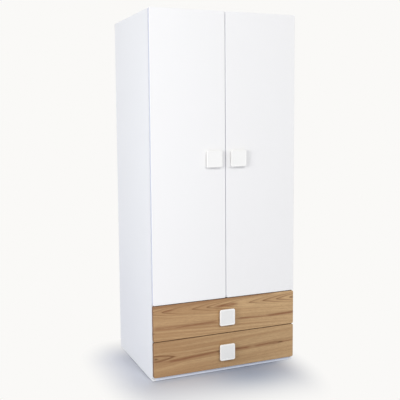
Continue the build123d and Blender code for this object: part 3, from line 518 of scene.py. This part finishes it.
def oak(name, middle, figure, shades):
    """Plain-sawn oak with its grain along X, laid out about the middle of a drawer front."""
    finish = Finish(name)
    x, _, z = finish.coordinate("Object")
    seed = figure["seed"]
    drift = (grain_noise(finish, 2.4, 10.0, seed) - 0.5) * 0.008
    ragged = (grain_noise(finish, 26.0, 260.0, seed) - 0.5) * 0.0014
    across = z - middle + drift + ragged
    bent = across
    for eye in figure["eyes"]:
        bent = part_round_eye(finish, x, bent, eye)

    rings = growth_rings(finish, x, bent, figure["lines"])
    share = finish.math("FRACT", rings)
    late = finish.ramp(share, LATE_WOOD)
    strength = finish.step(finish.noise(finish.vector(rings * 0.9, seed, 0.0), 1.0, 2.0), 0.30, 0.65)
    years = finish.step(finish.noise(finish.vector(rings * 0.34, 0.0, seed), 1.0, 3.0), 0.32, 0.68)
    arched = finish.hump(bent, figure["lines"]["axis"], ARCH_HALF * 1.6)
    late = late * finish.math("MAXIMUM", strength * 0.5 + 0.25, arched)
    for number in figure["lines"]["faint"]:
        late = late * (1.0 - finish.hump(rings, FIRST_RING - number - 0.3, 0.5))

    tone = grain_noise(finish, 2.2, 80.0, seed, 4.0, 0.6)
    tone = finish.step(tone * 0.5 + years * 0.5 + x * PALER_RIGHTWARDS, 0.2, 0.8)
    middling, pale = (shaded(shade, figure["tone"]) for shade in (shades.oak_mid, shades.oak_pale))
    wood = finish.mix(tone, middling, pale)
    belt = figure["pale"]
    belted = finish.hump(across, belt["middle"], belt["width"]) * belt["share"]
    wood = finish.mix(belted, wood, shades.oak_pale)
    wood = finish.mix(late * 0.92, wood, shades.oak_dark)
    for eye in figure["eyes"]:
        wood = finish.mix(eye_rings(finish, x, across, eye) * 0.95, wood, shades.oak_dark)
    for streak in figure["streaks"]:
        wood = finish.mix(streak_share(finish, x, across, streak, seed), wood, shades.oak_red)
    for knot_x, knot_z, half_long, half_tall in figure["knots"]:
        spot = finish.hump(x, knot_x, half_long) * finish.hump(across, knot_z, half_tall)
        wood = finish.mix(spot * 0.85, wood, shaded(shades.oak_dark, 0.45))

    fleck = grain_noise(finish, 34.0, 300.0, seed + 5.0, 3.0, 0.55)
    wood = finish.mix(finish.step(fleck, 0.38, 0.72) * 0.34, wood, shaded(shades.oak_mid, 0.72))
    fibre = grain_noise(finish, 22.0, 900.0, 0.0, 3.0, 0.6)
    pores = finish.step(grain_noise(finish, 60.0, 1700.0, 0.0), 0.60, 0.74)
    wood = finish.mix(fibre * 0.26, wood, shaded(shades.oak_dark, 1.1))
    wood = finish.mix(pores * 0.45, wood, shaded(shades.oak_dark, 0.6))
    nx, _, nz = finish.coordinate("Normal")
    rim = finish.step(finish.math("SQRT", nx * nx + nz * nz), 0.45, 0.9)
    edge = finish.mix(fibre, shaded(shades.oak_edge, 0.85), shades.oak_edge)
    wood = finish.mix(rim * 0.85, wood, edge)
    height = fibre * 0.5 - pores - late * 0.3
    rough = 0.50 + fibre * 0.12 + pores * 0.1
    return finish.done(wood, rough, finish.bump(height, 0.00012, 0.5), Specular_IOR_Level=0.35)


# --- Metal and plastic finishes -------------------------------------------------------------------


def metal(name, tint, rough, brushed_along=None, mottle=0.06):
    """Plated steel: bright metal with soft blotches, and brush lines if it has a direction."""
    finish = Finish(name)
    at = finish.position()
    blotch = finish.noise(at, 55.0, 4.0, 0.6)
    if brushed_along is None:
        lines = finish.noise(at, 900.0, 3.0, 0.6)
    else:
        stretch = [1200.0] * 3
        stretch[brushed_along] = 30.0
        brushed = [part * times for part, times in zip(finish.coordinate("Object"), stretch)]
        lines = finish.noise(finish.vector(*brushed), 1.0, 3.0)
    base = finish.mix(blotch, shaded(tint, 1.0 - mottle * 2), shaded(tint, 1.0 + mottle))
    return finish.done(
        base, rough + (blotch - 0.5) * 0.14 + (lines - 0.5) * 0.06,
        finish.bump(lines, 0.00001, 0.4), Metallic=1.0,
    )


def plastic(name, tint, rough, **constants):
    """Moulded plastic: a fine spark texture, faint clouds and scuffs."""
    finish = Finish(name)
    at = finish.position()
    spark = finish.noise(at, 700.0, 2.0, 0.5)
    cloud = finish.noise(at, 12.0, 3.0, 0.6)
    scuff = finish.step(finish.noise(at, 60.0, 5.0, 0.7, 2.0), 0.55, 0.75)
    base = finish.mix(cloud, shaded(tint, 0.97), shaded(tint, 1.01))
    return finish.done(
        base, rough + scuff * 0.10 + spark * 0.04, finish.bump(spark, 0.00003, 0.5), **constants
    )


def knob_plastic(name, tint, face_y, sunk_shade_share):
    """Satin plastic; its sunk face is darkened to a share of the border's brightness, a painted shade
    of the recess.
    """
    finish = Finish(name)
    at = finish.position()
    y = finish.coordinate("Object")[1]
    facing = finish.coordinate("Normal")[1] * -1.0
    sunk = finish.step(y, face_y + KNOB_RECESS * 0.4, face_y + KNOB_RECESS * 0.8) * (facing > 0.9)
    spark = finish.noise(at, 900.0, 2.0, 0.5)
    cloud = finish.noise(at, 30.0, 3.0, 0.6)
    base = finish.mix(cloud, shaded(tint, 0.985), shaded(tint, 1.01))
    # Painted shade: the sunk face is darkened by a share, in place of the recess's shade.
    base = finish.mix(sunk, base, shaded(tint, sunk_shade_share))
    rough = 0.36 + sunk * 0.10 + cloud * 0.05
    return finish.done(base, rough, finish.bump(spark, 0.00002, 0.3), Specular_IOR_Level=0.45)


def powder_coat(name, tint):
    """Epoxy powder coat on the runners: orange peel, and darker where rollers run."""
    finish = Finish(name)
    at = finish.position()
    peel = finish.noise(at, 380.0, 2.0, 0.4)
    grime = finish.step(finish.noise(at, 22.0, 5.0, 0.65), 0.5, 0.8)
    base = finish.mix(grime * 0.35, tint, shaded(tint, 0.82))
    relief = finish.bump(peel, 0.00006, 0.5)
    return finish.done(base, 0.34 + grime * 0.18, relief, Specular_IOR_Level=0.5)


def nylon(name, tint):
    """Natural nylon with fine turning marks."""
    finish = Finish(name)
    marks = finish.math("SINE", finish.coordinate("Object")[0] * 9000.0) * 0.5 + 0.5
    cloud = finish.noise(finish.position(), 180.0, 3.0)
    base = finish.mix(cloud, shaded(tint, 0.95), tint)
    return finish.done(
        base, 0.42 + cloud * 0.08, finish.bump(marks, 0.00001, 0.4),
        Subsurface_Weight=0.15, Subsurface_Scale=0.002,
    )


def beech(name, tint):
    """Compressed beech with short dark flecks along the dowel."""
    finish = Finish(name)
    x, y, z = finish.coordinate("Object")
    grain = finish.noise(finish.vector(x * 60.0, y * 700.0, z * 700.0), 1.0, 3.0)
    short = finish.noise(finish.vector(x * 220.0, y * 1500.0, z * 1500.0), 1.0, 2.0)
    flecks = finish.step(short, 0.6, 0.72)
    base = finish.mix(grain, shaded(tint, 0.8), shaded(tint, 1.08))
    base = finish.mix(flecks * 0.6, base, shaded(tint, 0.5))
    return finish.done(base, 0.6, finish.bump(grain - flecks, 0.00008, 0.5))


# --- Pieces ---------------------------------------------------------------------------------------


def paint(finish, names):
    """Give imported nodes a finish; their shapes stay."""
    for name in names:
        for slot in NODES[name].material_slots:
            slot.material = finish


def named(*endings):
    return [name for name in NODES if name.endswith(endings)]


def solid_boxes(name):
    """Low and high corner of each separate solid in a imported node, in a steady order."""
    copy = bmesh.new()
    copy.from_mesh(NODES[name].data)
    bmesh.ops.remove_doubles(copy, verts=copy.verts, dist=SAME_CORNER)
    left, boxes = set(copy.verts), []
    while left:
        open_ends, solid = [left.pop()], []
        while open_ends:
            vertex = open_ends.pop()
            solid.append(vertex.co.copy())
            for edge in vertex.link_edges:
                other = edge.other_vert(vertex)
                if other in left:
                    left.remove(other)
                    open_ends.append(other)
        low = Vector([min(co[axis] for co in solid) for axis in range(3)])
        high = Vector([max(co[axis] for co in solid) for axis in range(3)])
        boxes.append((low, high))
    copy.free()
    return sorted(boxes, key=lambda box: [round(value, 5) for value in (*box[0], *box[1])])


def turned(profile, place, axis, steps):
    """A closed piece turned about an axis from (radius, height) pairs that start and end at it."""
    shape = bmesh.new()
    points = [shape.verts.new((radius, 0.0, height)) for radius, height in profile]
    edges = [shape.edges.new(pair) for pair in zip(points, points[1:])]
    bmesh.ops.spin(
        shape, geom=points + edges, cent=(0, 0, 0), axis=(0, 0, 1), angle=math.tau, steps=steps,
        use_merge=True,
    )
    bmesh.ops.remove_doubles(shape, verts=shape.verts, dist=SAME_CORNER)
    bmesh.ops.recalc_face_normals(shape, faces=shape.faces)
    turn = Vector((0, 0, 1)).rotation_difference(Vector(axis)).to_matrix().to_4x4()
    bmesh.ops.transform(shape, matrix=Matrix.Translation(place) @ turn, verts=shape.verts)
    return shape


def join(shapes):
    """One bmesh from several."""
    whole = bmesh.new()
    for shape in shapes:
        part = bpy.data.meshes.new("part")
        shape.to_mesh(part)
        shape.free()
        whole.from_mesh(part)
        bpy.data.meshes.remove(part)
    return whole


def finish_piece(name, shape, material, body, smooth_below=math.radians(40)):
    """Make an object from a bmesh, smooth its shallow edges and set it on its body."""
    for face in shape.faces:
        face.smooth = True
    for edge in shape.edges:
        edge.smooth = edge.calc_face_angle(0.0) < smooth_below
    mesh = bpy.data.meshes.new(name)
    shape.to_mesh(mesh)
    shape.free()
    mesh.materials.append(material)
    piece = bpy.data.objects.new(name, mesh)
    bpy.context.scene.collection.objects.link(piece)
    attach(piece, body)
    return piece


class WardrobeOperator(bpy.types.Operator):
    """Shared by the wardrobe's operators."""

    bl_options = {"REGISTER", "UNDO"}

    @property
    def shades(self):
        return bpy.context.scene.wardrobe_colours

    @property
    def sizes(self):
        return bpy.context.scene.wardrobe_fittings


class WARDROBE_OT_case_boards(WardrobeOperator):
    """Melamine for the sides, the top, the bottom, the shelves and the rear rail"""

    bl_idname = "wardrobe.case_boards"
    bl_label = "Case boards"

    def execute(self, context):
        shades = self.shades
        boards = ["side_panel_left", "side_panel_right", "top_panel"]
        boards += ["divider_shelf", "hat_shelf", "rear_rail"]
        paint(melamine("melamine", shades.board, shades.board, shades.raw), boards)
        # The bottom panel's front band is a painted bluish shade.
        paint(melamine("foot_melamine", shades.board, shades.foot_edge_shade, shades.raw), ["bottom_panel"])
        return {"FINISHED"}


class WARDROBE_OT_thin_sheets(WardrobeOperator):
    """Lacquered hardboard for the back and the drawer bottoms, and the strip between the sheets"""

    bl_idname = "wardrobe.thin_sheets"
    bl_label = "Thin sheets"

    def execute(self, context):
        shades = self.shades
        back = thin_sheet("back_hardboard", shades.lacquer, shades.hardboard, 1, 1.0)
        paint(back, ["back_panel_upper", "back_panel_lower"])
        bottom = thin_sheet("bottom_hardboard", shades.lacquer, shades.hardboard, 2, -1.0)
        paint(bottom, [f"{level}_drawer_bottom" for level in LEVELS])
        paint(plastic("joiner_plastic", shades.lacquer, 0.4), ["back_panel_joiner"])
        return {"FINISHED"}


class WARDROBE_OT_doors(WardrobeOperator):
    """Satin white doors"""

    bl_idname = "wardrobe.doors"
    bl_label = "Doors"

    def execute(self, context):
        shades = self.shades
        finish = satin_front("satin_front", shades.front, shades.front_edge, shades.hinge_edge_shade)
        paint(finish, [f"door_{side}" for side in SIDES])
        return {"FINISHED"}


class WARDROBE_OT_drawer_fronts(WardrobeOperator):
    """Oak drawer fronts, each with its own figure"""

    bl_idname = "wardrobe.drawer_fronts"
    bl_label = "Drawer fronts"

    def execute(self, context):
        for level, figure in (("upper", UPPER_FIGURE), ("lower", LOWER_FIGURE)):
            node = f"{level}_drawer_front"
            low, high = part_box(node)
            paint(oak(f"oak_{level}", (low.z + high.z) / 2, figure, self.shades), [node])
        return {"FINISHED"}


class WARDROBE_OT_drawer_boxes(WardrobeOperator):
    """White melamine drawer sides and backs"""

    bl_idname = "wardrobe.drawer_boxes"
    bl_label = "Drawer boxes"

    def execute(self, context):
        boards = named("_drawer_side_left", "_drawer_side_right", "_drawer_back")
        drawer, raw = self.shades.drawer, self.shades.raw
        paint(melamine("drawer_melamine", drawer, drawer, raw, emboss=0.64), boards)
        return {"FINISHED"}


class WARDROBE_OT_knobs(WardrobeOperator):
    """Square satin knobs"""

    bl_idname = "wardrobe.knobs"
    bl_label = "Knobs"

    def execute(self, context):
        doors = [f"door_knob_{side}" for side in SIDES]
        drawers = [f"{level}_drawer_knob" for level in LEVELS]
        # Painted shade: the drawer knobs' sunk faces are darker than the doors', for the recess and for
        # the lower knobs getting less light.
        for knobs, name, sunk_shade_share in ((doors, "door_knob", 0.99), (drawers, "drawer_knob", 0.90)):
            face_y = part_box(knobs[0])[0].y
            paint(knob_plastic(f"{name}_plastic", self.shades.knob, face_y, sunk_shade_share), knobs)
        return {"FINISHED"}


class WARDROBE_OT_hinges(WardrobeOperator):
    """Nickel hinges, with the adjusting screws of their arms"""

    bl_idname = "wardrobe.hinges"
    bl_label = "Hinges"

    def execute(self, context):
        sizes = self.sizes
        nickel = metal("nickel", self.shades.steel, 0.30, brushed_along=1)
        paint(nickel, ["hinge_plates", "hinge_arms"])
        paint(nickel, [f"hinge_{part}_{side}" for part in ("cups", "pins") for side in SIDES])
        radius, rise = sizes.adjuster_radius, sizes.adjuster_height
        profile = [(0, 0.4 * rise), (0.45 * radius, 0.4 * rise), (0.5 * radius, rise)]
        profile += [(0.8 * radius, rise), (0.95 * radius, 0.75 * rise), (radius, 0.4 * rise)]
        profile += [(radius, -0.3 * rise), (0, -0.3 * rise)]
        screws = []
        for low, high in solid_boxes("hinge_arms"):
            inward = 1 if low.x < 0 else -1
            face_x = high.x if inward > 0 else low.x
            for share in (0.45, 0.85):
                place = (face_x, low.y + (high.y - low.y) * share, (low.z + high.z) / 2)
                screws.append(turned(profile, place, (inward, 0, 0), sizes.spin_steps))
        finish_piece("hinge_adjusting_screws", join(screws), nickel, "case")
        return {"FINISHED"}


class WARDROBE_OT_rail_and_pins(WardrobeOperator):
    """Chrome hanging rail, its sockets, the wall brackets and the shelf pins"""

    bl_idname = "wardrobe.rail_and_pins"
    bl_label = "Rail and pins"

    def execute(self, context):
        steel = self.shades.steel
        paint(metal("chrome", shaded(steel, 1.15), 0.09, mottle=0.02), ["hanging_rail"])
        paint(metal("bracket_zinc", shaded(steel, 0.95), 0.36), ["rail_brackets", "wall_brackets"])
        paint(metal("pin_nickel", steel, 0.24), ["shelf_pins"])
        return {"FINISHED"}


class WARDROBE_OT_runners(WardrobeOperator):
    """Powder-coated runners with nylon rollers"""

    bl_idname = "wardrobe.runners"
    bl_label = "Runners"

    def execute(self, context):
        epoxy = powder_coat("runner_epoxy", self.shades.epoxy)
        paint(epoxy, ["runner_channels", *named("runner_profiles")])
        paint(nylon("roller_nylon", self.shades.nylon), named("_rollers"))
        return {"FINISHED"}


class WARDROBE_OT_fasteners(WardrobeOperator):
    """Screws, cams, bolts and dowels, with a cover cap on every cam"""

    bl_idname = "wardrobe.fasteners"
    bl_label = "Fasteners"

    def execute(self, context):
        steel = self.shades.steel
        paint(metal("screw_zinc", steel, 0.30), [n for n in NODES if "screws" in n])
        cam_zinc = metal("cam_zinc", shaded(steel, 0.85), 0.42)
        paint(cam_zinc, ["cam_housings", "cam_bolts", *named("cam_fittings")])
        paint(beech("dowel_beech", self.shades.beech), ["wood_dowels"])
        white = plastic("cap_plastic", self.shades.board, 0.38)
        finish_piece("case_cam_caps", self.caps("cam_housings"), white, "case")
        for level in LEVELS:
            shape = self.caps(f"{level}_drawer_cam_fittings")
            finish_piece(f"{level}_drawer_cam_caps", shape, white, f"{level}_drawer")
        return {"FINISHED"}

    def caps(self, node):
        """A low domed cap over the open end of each cam drum, which is the end nearer a board face."""
        sizes = self.sizes
        caps = []
        for low, high in solid_boxes(node):
            size = high - low
            thin = min(range(3), key=lambda axis: size[axis])
            wide = sorted(size)[1:]
            if wide[1] - wide[0] > ROUND_WITHIN:
                continue
            axis, place = cap_seat(low, high, thin)
            radius = wide[0] / 2 + sizes.cap_overlap
            rise = sizes.cap_height
            profile = [(0, rise), (0.5 * radius, 0.97 * rise), (0.85 * radius, 0.8 * rise)]
            profile += [(0.96 * radius, 0.5 * rise), (radius, 0.0), (0, 0.0)]
            caps.append(turned(profile, place, axis, sizes.spin_steps))
        return join(caps)


def cap_seat(low, high, thin):
    """Direction and seat of the cap on a cam: the face of the board that the cam is sunk in."""
    middle = (low + high) / 2
    direction = Vector((0.0, 0.0, 0.0))
    if thin == 0:
        sign = 1.0 if middle.x < 0 else -1.0
    elif thin == 1:
        sign = -1.0
    else:
        sign = 1.0 if middle.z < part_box("runner_channels")[0].z else -1.0
    direction[thin] = sign
    middle[thin] = (high if sign > 0 else low)[thin]
    return direction, middle


class WARDROBE_OT_bumpers_and_glides(WardrobeOperator):
    """Domed silicone bumpers behind the fronts, and the floor glides"""

    bl_idname = "wardrobe.bumpers_and_glides"
    bl_label = "Bumpers and glides"

    def execute(self, context):
        sizes = self.sizes
        paint(plastic("glide_polyethylene", self.shades.polyethylene, 0.5), ["floor_glides"])
        clear = plastic("silicone", self.shades.silicone, 0.22, Transmission_Weight=0.15, IOR=1.41)
        domes = []
        for low, high in solid_boxes("door_bumpers"):
            radius = (high.x - low.x) / 2
            rise = high.y - low.y
            dome = sizes.bumper_dome
            rim = rise - dome
            profile = [(0, rise), (0.35 * radius, rim + 0.93 * dome)]
            profile += [(0.65 * radius, rim + 0.72 * dome), (0.88 * radius, rim + 0.38 * dome)]
            profile += [(radius, rim), (radius, 0), (0, 0)]
            place = ((low.x + high.x) / 2, high.y, (low.z + high.z) / 2)
            domes.append(turned(profile, place, (0, -1, 0), sizes.spin_steps))
        piece = finish_piece("bumper_domes", join(domes), clear, "case")
        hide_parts("door_bumpers")
        return {"FINISHED"}


# --- Studio ---------------------------------------------------------------------------------------

# Place, aim and diameter of each lamp.
LAMPS = {
    "key": ((2.2, -20.0, 14.0), (0.0, -0.3, 1.0), 5.0),
    "side": ((-3.85, -2.15, 1.7), (0.0, 0.0, 1.1), 2.0),
    "rear": ((0.2, 3.6, 3.2), (0.0, 0.0, 0.4), 2.4),
}
# Where the floor starts to turn into the backdrop and where it has, in metres past the foot.
FADES = {
    "left": (0.02, 0.29),
    "right": (-0.14, 0.105),
    "before": (-0.10, 0.51),
    "behind": (-0.25, 0.16),
}
# Middle and reach, in metres along X and Y, of two soft patches of the floor: the deepest shadow, a
# painted shadow in front of the foot and right of its middle, and a painted shade beside the left
# panel, where the floor sends up less and bluer light, unseen by the camera, so that the panel's foot
# is darker.
DEEP_PATCH = ((0.115, -0.43), (0.22, 0.21))
DIM_SHADE_PATCH = ((-0.90, 0.15), (0.28, 0.50))


def seen_ray(finish):
    """1 for what the camera, a mirror or a clear body sees, 0 for light on its way to a surface."""
    rays = [
        finish.node("ShaderNodeLightPath", output=f"Is {kind} Ray")
        for kind in ("Camera", "Glossy", "Transmission")
    ]
    return finish.math("MAXIMUM", finish.math("MAXIMUM", rays[0], rays[1]), rays[2])


def past(distance, half, side):
    """0 where the floor's fade on one side starts, 1 where it ends, and more beyond."""
    start, end = FADES[side]
    return distance.finish.math("MAXIMUM", distance - (half + start), 0.0) * (1 / (end - start))


def soft_patch(finish, place, middle, reach):
    """1 in the middle of a soft patch of the floor, fading out round it."""
    along_x, along_y = (finish.hump(*row) for row in zip(place, middle, reach))
    return along_x * along_y


class WARDROBE_OT_studio(bpy.types.Operator):
    """Floor, lamps, sky and camera"""

    bl_idname = "wardrobe.studio"
    bl_label = "Studio"

    def execute(self, context):
        studio = context.scene.wardrobe_studio
        self.make_floor(context, studio)
        self.make_sky(context, studio)
        for name, (place, target, size) in LAMPS.items():
            self.make_lamp(context, name, place, target, size, getattr(studio, f"{name}_power"))
        self.make_camera(context, studio)
        context.scene.view_settings.view_transform = "Standard"
        return {"FINISHED"}

    def make_floor(self, context, studio):
        disc = bmesh.new()
        bmesh.ops.create_circle(disc, cap_ends=True, radius=studio.floor_radius, segments=96)
        mesh = bpy.data.meshes.new("floor")
        disc.to_mesh(mesh)
        disc.free()
        mesh.materials.append(self.floor_finish(studio))
        floor = bpy.data.objects.new("floor", mesh)
        context.scene.collection.objects.link(floor)

    def floor_finish(self, studio):
        finish = Finish("studio_floor")
        x, y, _ = finish.coordinate("Object")
        half_wide, half_deep = packed_box[1][0], packed_box[1][1]
        past_x = past(x * -1.0, half_wide, "left") + past(x, half_wide, "right")
        past_y = past(y * -1.0, half_deep, "before") + past(y, half_deep, "behind")
        fade = finish.step(finish.math("SQRT", past_x * past_x + past_y * past_y), 0.0, 1.0)
        seen = seen_ray(finish)
        tone = finish.mix(soft_patch(finish, (x, y), *DEEP_PATCH), studio.floor, studio.floor_shade)
        # Painted shade: beside the left panel, light leaving the floor is darker and bluer, while the
        # camera sees the plain tone.
        dim_shade = soft_patch(finish, (x, y), *DIM_SHADE_PATCH) * (1.0 - seen)
        tone = finish.mix(dim_shade, tone, studio.floor_return_shade)
        matt = {"Base Color": tone, "Roughness": 1.0, "Specular IOR Level": 0.0}
        lit = finish.node("ShaderNodeBsdfPrincipled", inputs=matt)
        plain = finish.node("ShaderNodeEmission", inputs={"Color": as_colour(studio.backdrop)})
        surface = finish.node("ShaderNodeMixShader", inputs={0: fade * seen, 1: lit, 2: plain})
        finish.node("ShaderNodeOutputMaterial", inputs={"Surface": surface})
        return finish.material

    def make_sky(self, context, studio):
        world = bpy.data.worlds.new("studio_sky")
        world.use_nodes = True
        context.scene.world = world
        finish = Finish("sky", world.node_tree)
        bright = {"Color": as_colour(studio.sky), "Strength": studio.sky_strength}
        light = finish.node("ShaderNodeBackground", inputs=bright)
        plain = finish.node("ShaderNodeBackground", inputs={"Color": as_colour(studio.backdrop)})
        both = finish.node("ShaderNodeMixShader", inputs={0: seen_ray(finish), 1: light, 2: plain})
        finish.node("ShaderNodeOutputWorld", inputs={"Surface": both})

    def make_lamp(self, context, name, place, target, size, power):
        lamp = bpy.data.lights.new(name, "AREA")
        lamp.shape = "DISK"
        lamp.size = size
        lamp.energy = power
        holder = bpy.data.objects.new(name, lamp)
        holder.location = place
        aim = Vector(target) - Vector(place)
        holder.rotation_euler = aim.to_track_quat("-Z", "Y").to_euler()
        context.scene.collection.objects.link(holder)

    def make_camera(self, context, studio):
        camera = bpy.data.cameras.new("camera")
        camera.lens = studio.camera_lens
        camera.shift_y = studio.camera_shift
        holder = bpy.data.objects.new("camera", camera)
        turn = Matrix.Rotation(-studio.camera_turn, 4, "Z")
        dip = Matrix.Rotation(math.pi / 2 - studio.camera_dip, 4, "X")
        roll = Matrix.Rotation(studio.camera_roll, 4, "Z")
        holder.matrix_world = Matrix.Translation(studio.camera_place) @ turn @ dip @ roll
        context.scene.collection.objects.link(holder)
        context.scene.camera = holder


# --- Panel, registration and the run --------------------------------------------------------------


class WARDROBE_PT_panel(bpy.types.Panel):
    """The wardrobe's settings and steps"""

    bl_idname = "WARDROBE_PT_panel"
    bl_label = "Wardrobe"
    bl_space_type = "VIEW_3D"
    bl_region_type = "UI"
    bl_category = "Wardrobe"

    def draw(self, context):
        for group in SETTINGS:
            settings = getattr(context.scene, group)
            column = self.layout.column(align=True)
            for name in settings.__annotations__:
                column.prop(settings, name)
        for operator in OPERATORS:
            self.layout.operator(operator.bl_idname)


SETTINGS = {
    "wardrobe_colours": WardrobeColours,
    "wardrobe_fittings": FittingSizes,
    "wardrobe_studio": StudioSettings,
}
OPERATORS = (
    WARDROBE_OT_studio,
    WARDROBE_OT_case_boards,
    WARDROBE_OT_thin_sheets,
    WARDROBE_OT_doors,
    WARDROBE_OT_drawer_fronts,
    WARDROBE_OT_drawer_boxes,
    WARDROBE_OT_knobs,
    WARDROBE_OT_hinges,
    WARDROBE_OT_rail_and_pins,
    WARDROBE_OT_runners,
    WARDROBE_OT_fasteners,
    WARDROBE_OT_bumpers_and_glides,
)


def register():
    for group, settings in SETTINGS.items():
        bpy.utils.register_class(settings)
        setattr(bpy.types.Scene, group, PointerProperty(type=settings))
    for operator in OPERATORS:
        bpy.utils.register_class(operator)
    bpy.utils.register_class(WARDROBE_PT_panel)


def unregister():
    bpy.utils.unregister_class(WARDROBE_PT_panel)
    for operator in reversed(OPERATORS):
        bpy.utils.unregister_class(operator)
    for group, settings in SETTINGS.items():
        delattr(bpy.types.Scene, group)
        bpy.utils.unregister_class(settings)


def main():
    register()
    for operator in OPERATORS:
        group, step = operator.bl_idname.split(".")
        getattr(getattr(bpy.ops, group), step)()


if __name__ == "__main__":
    main()
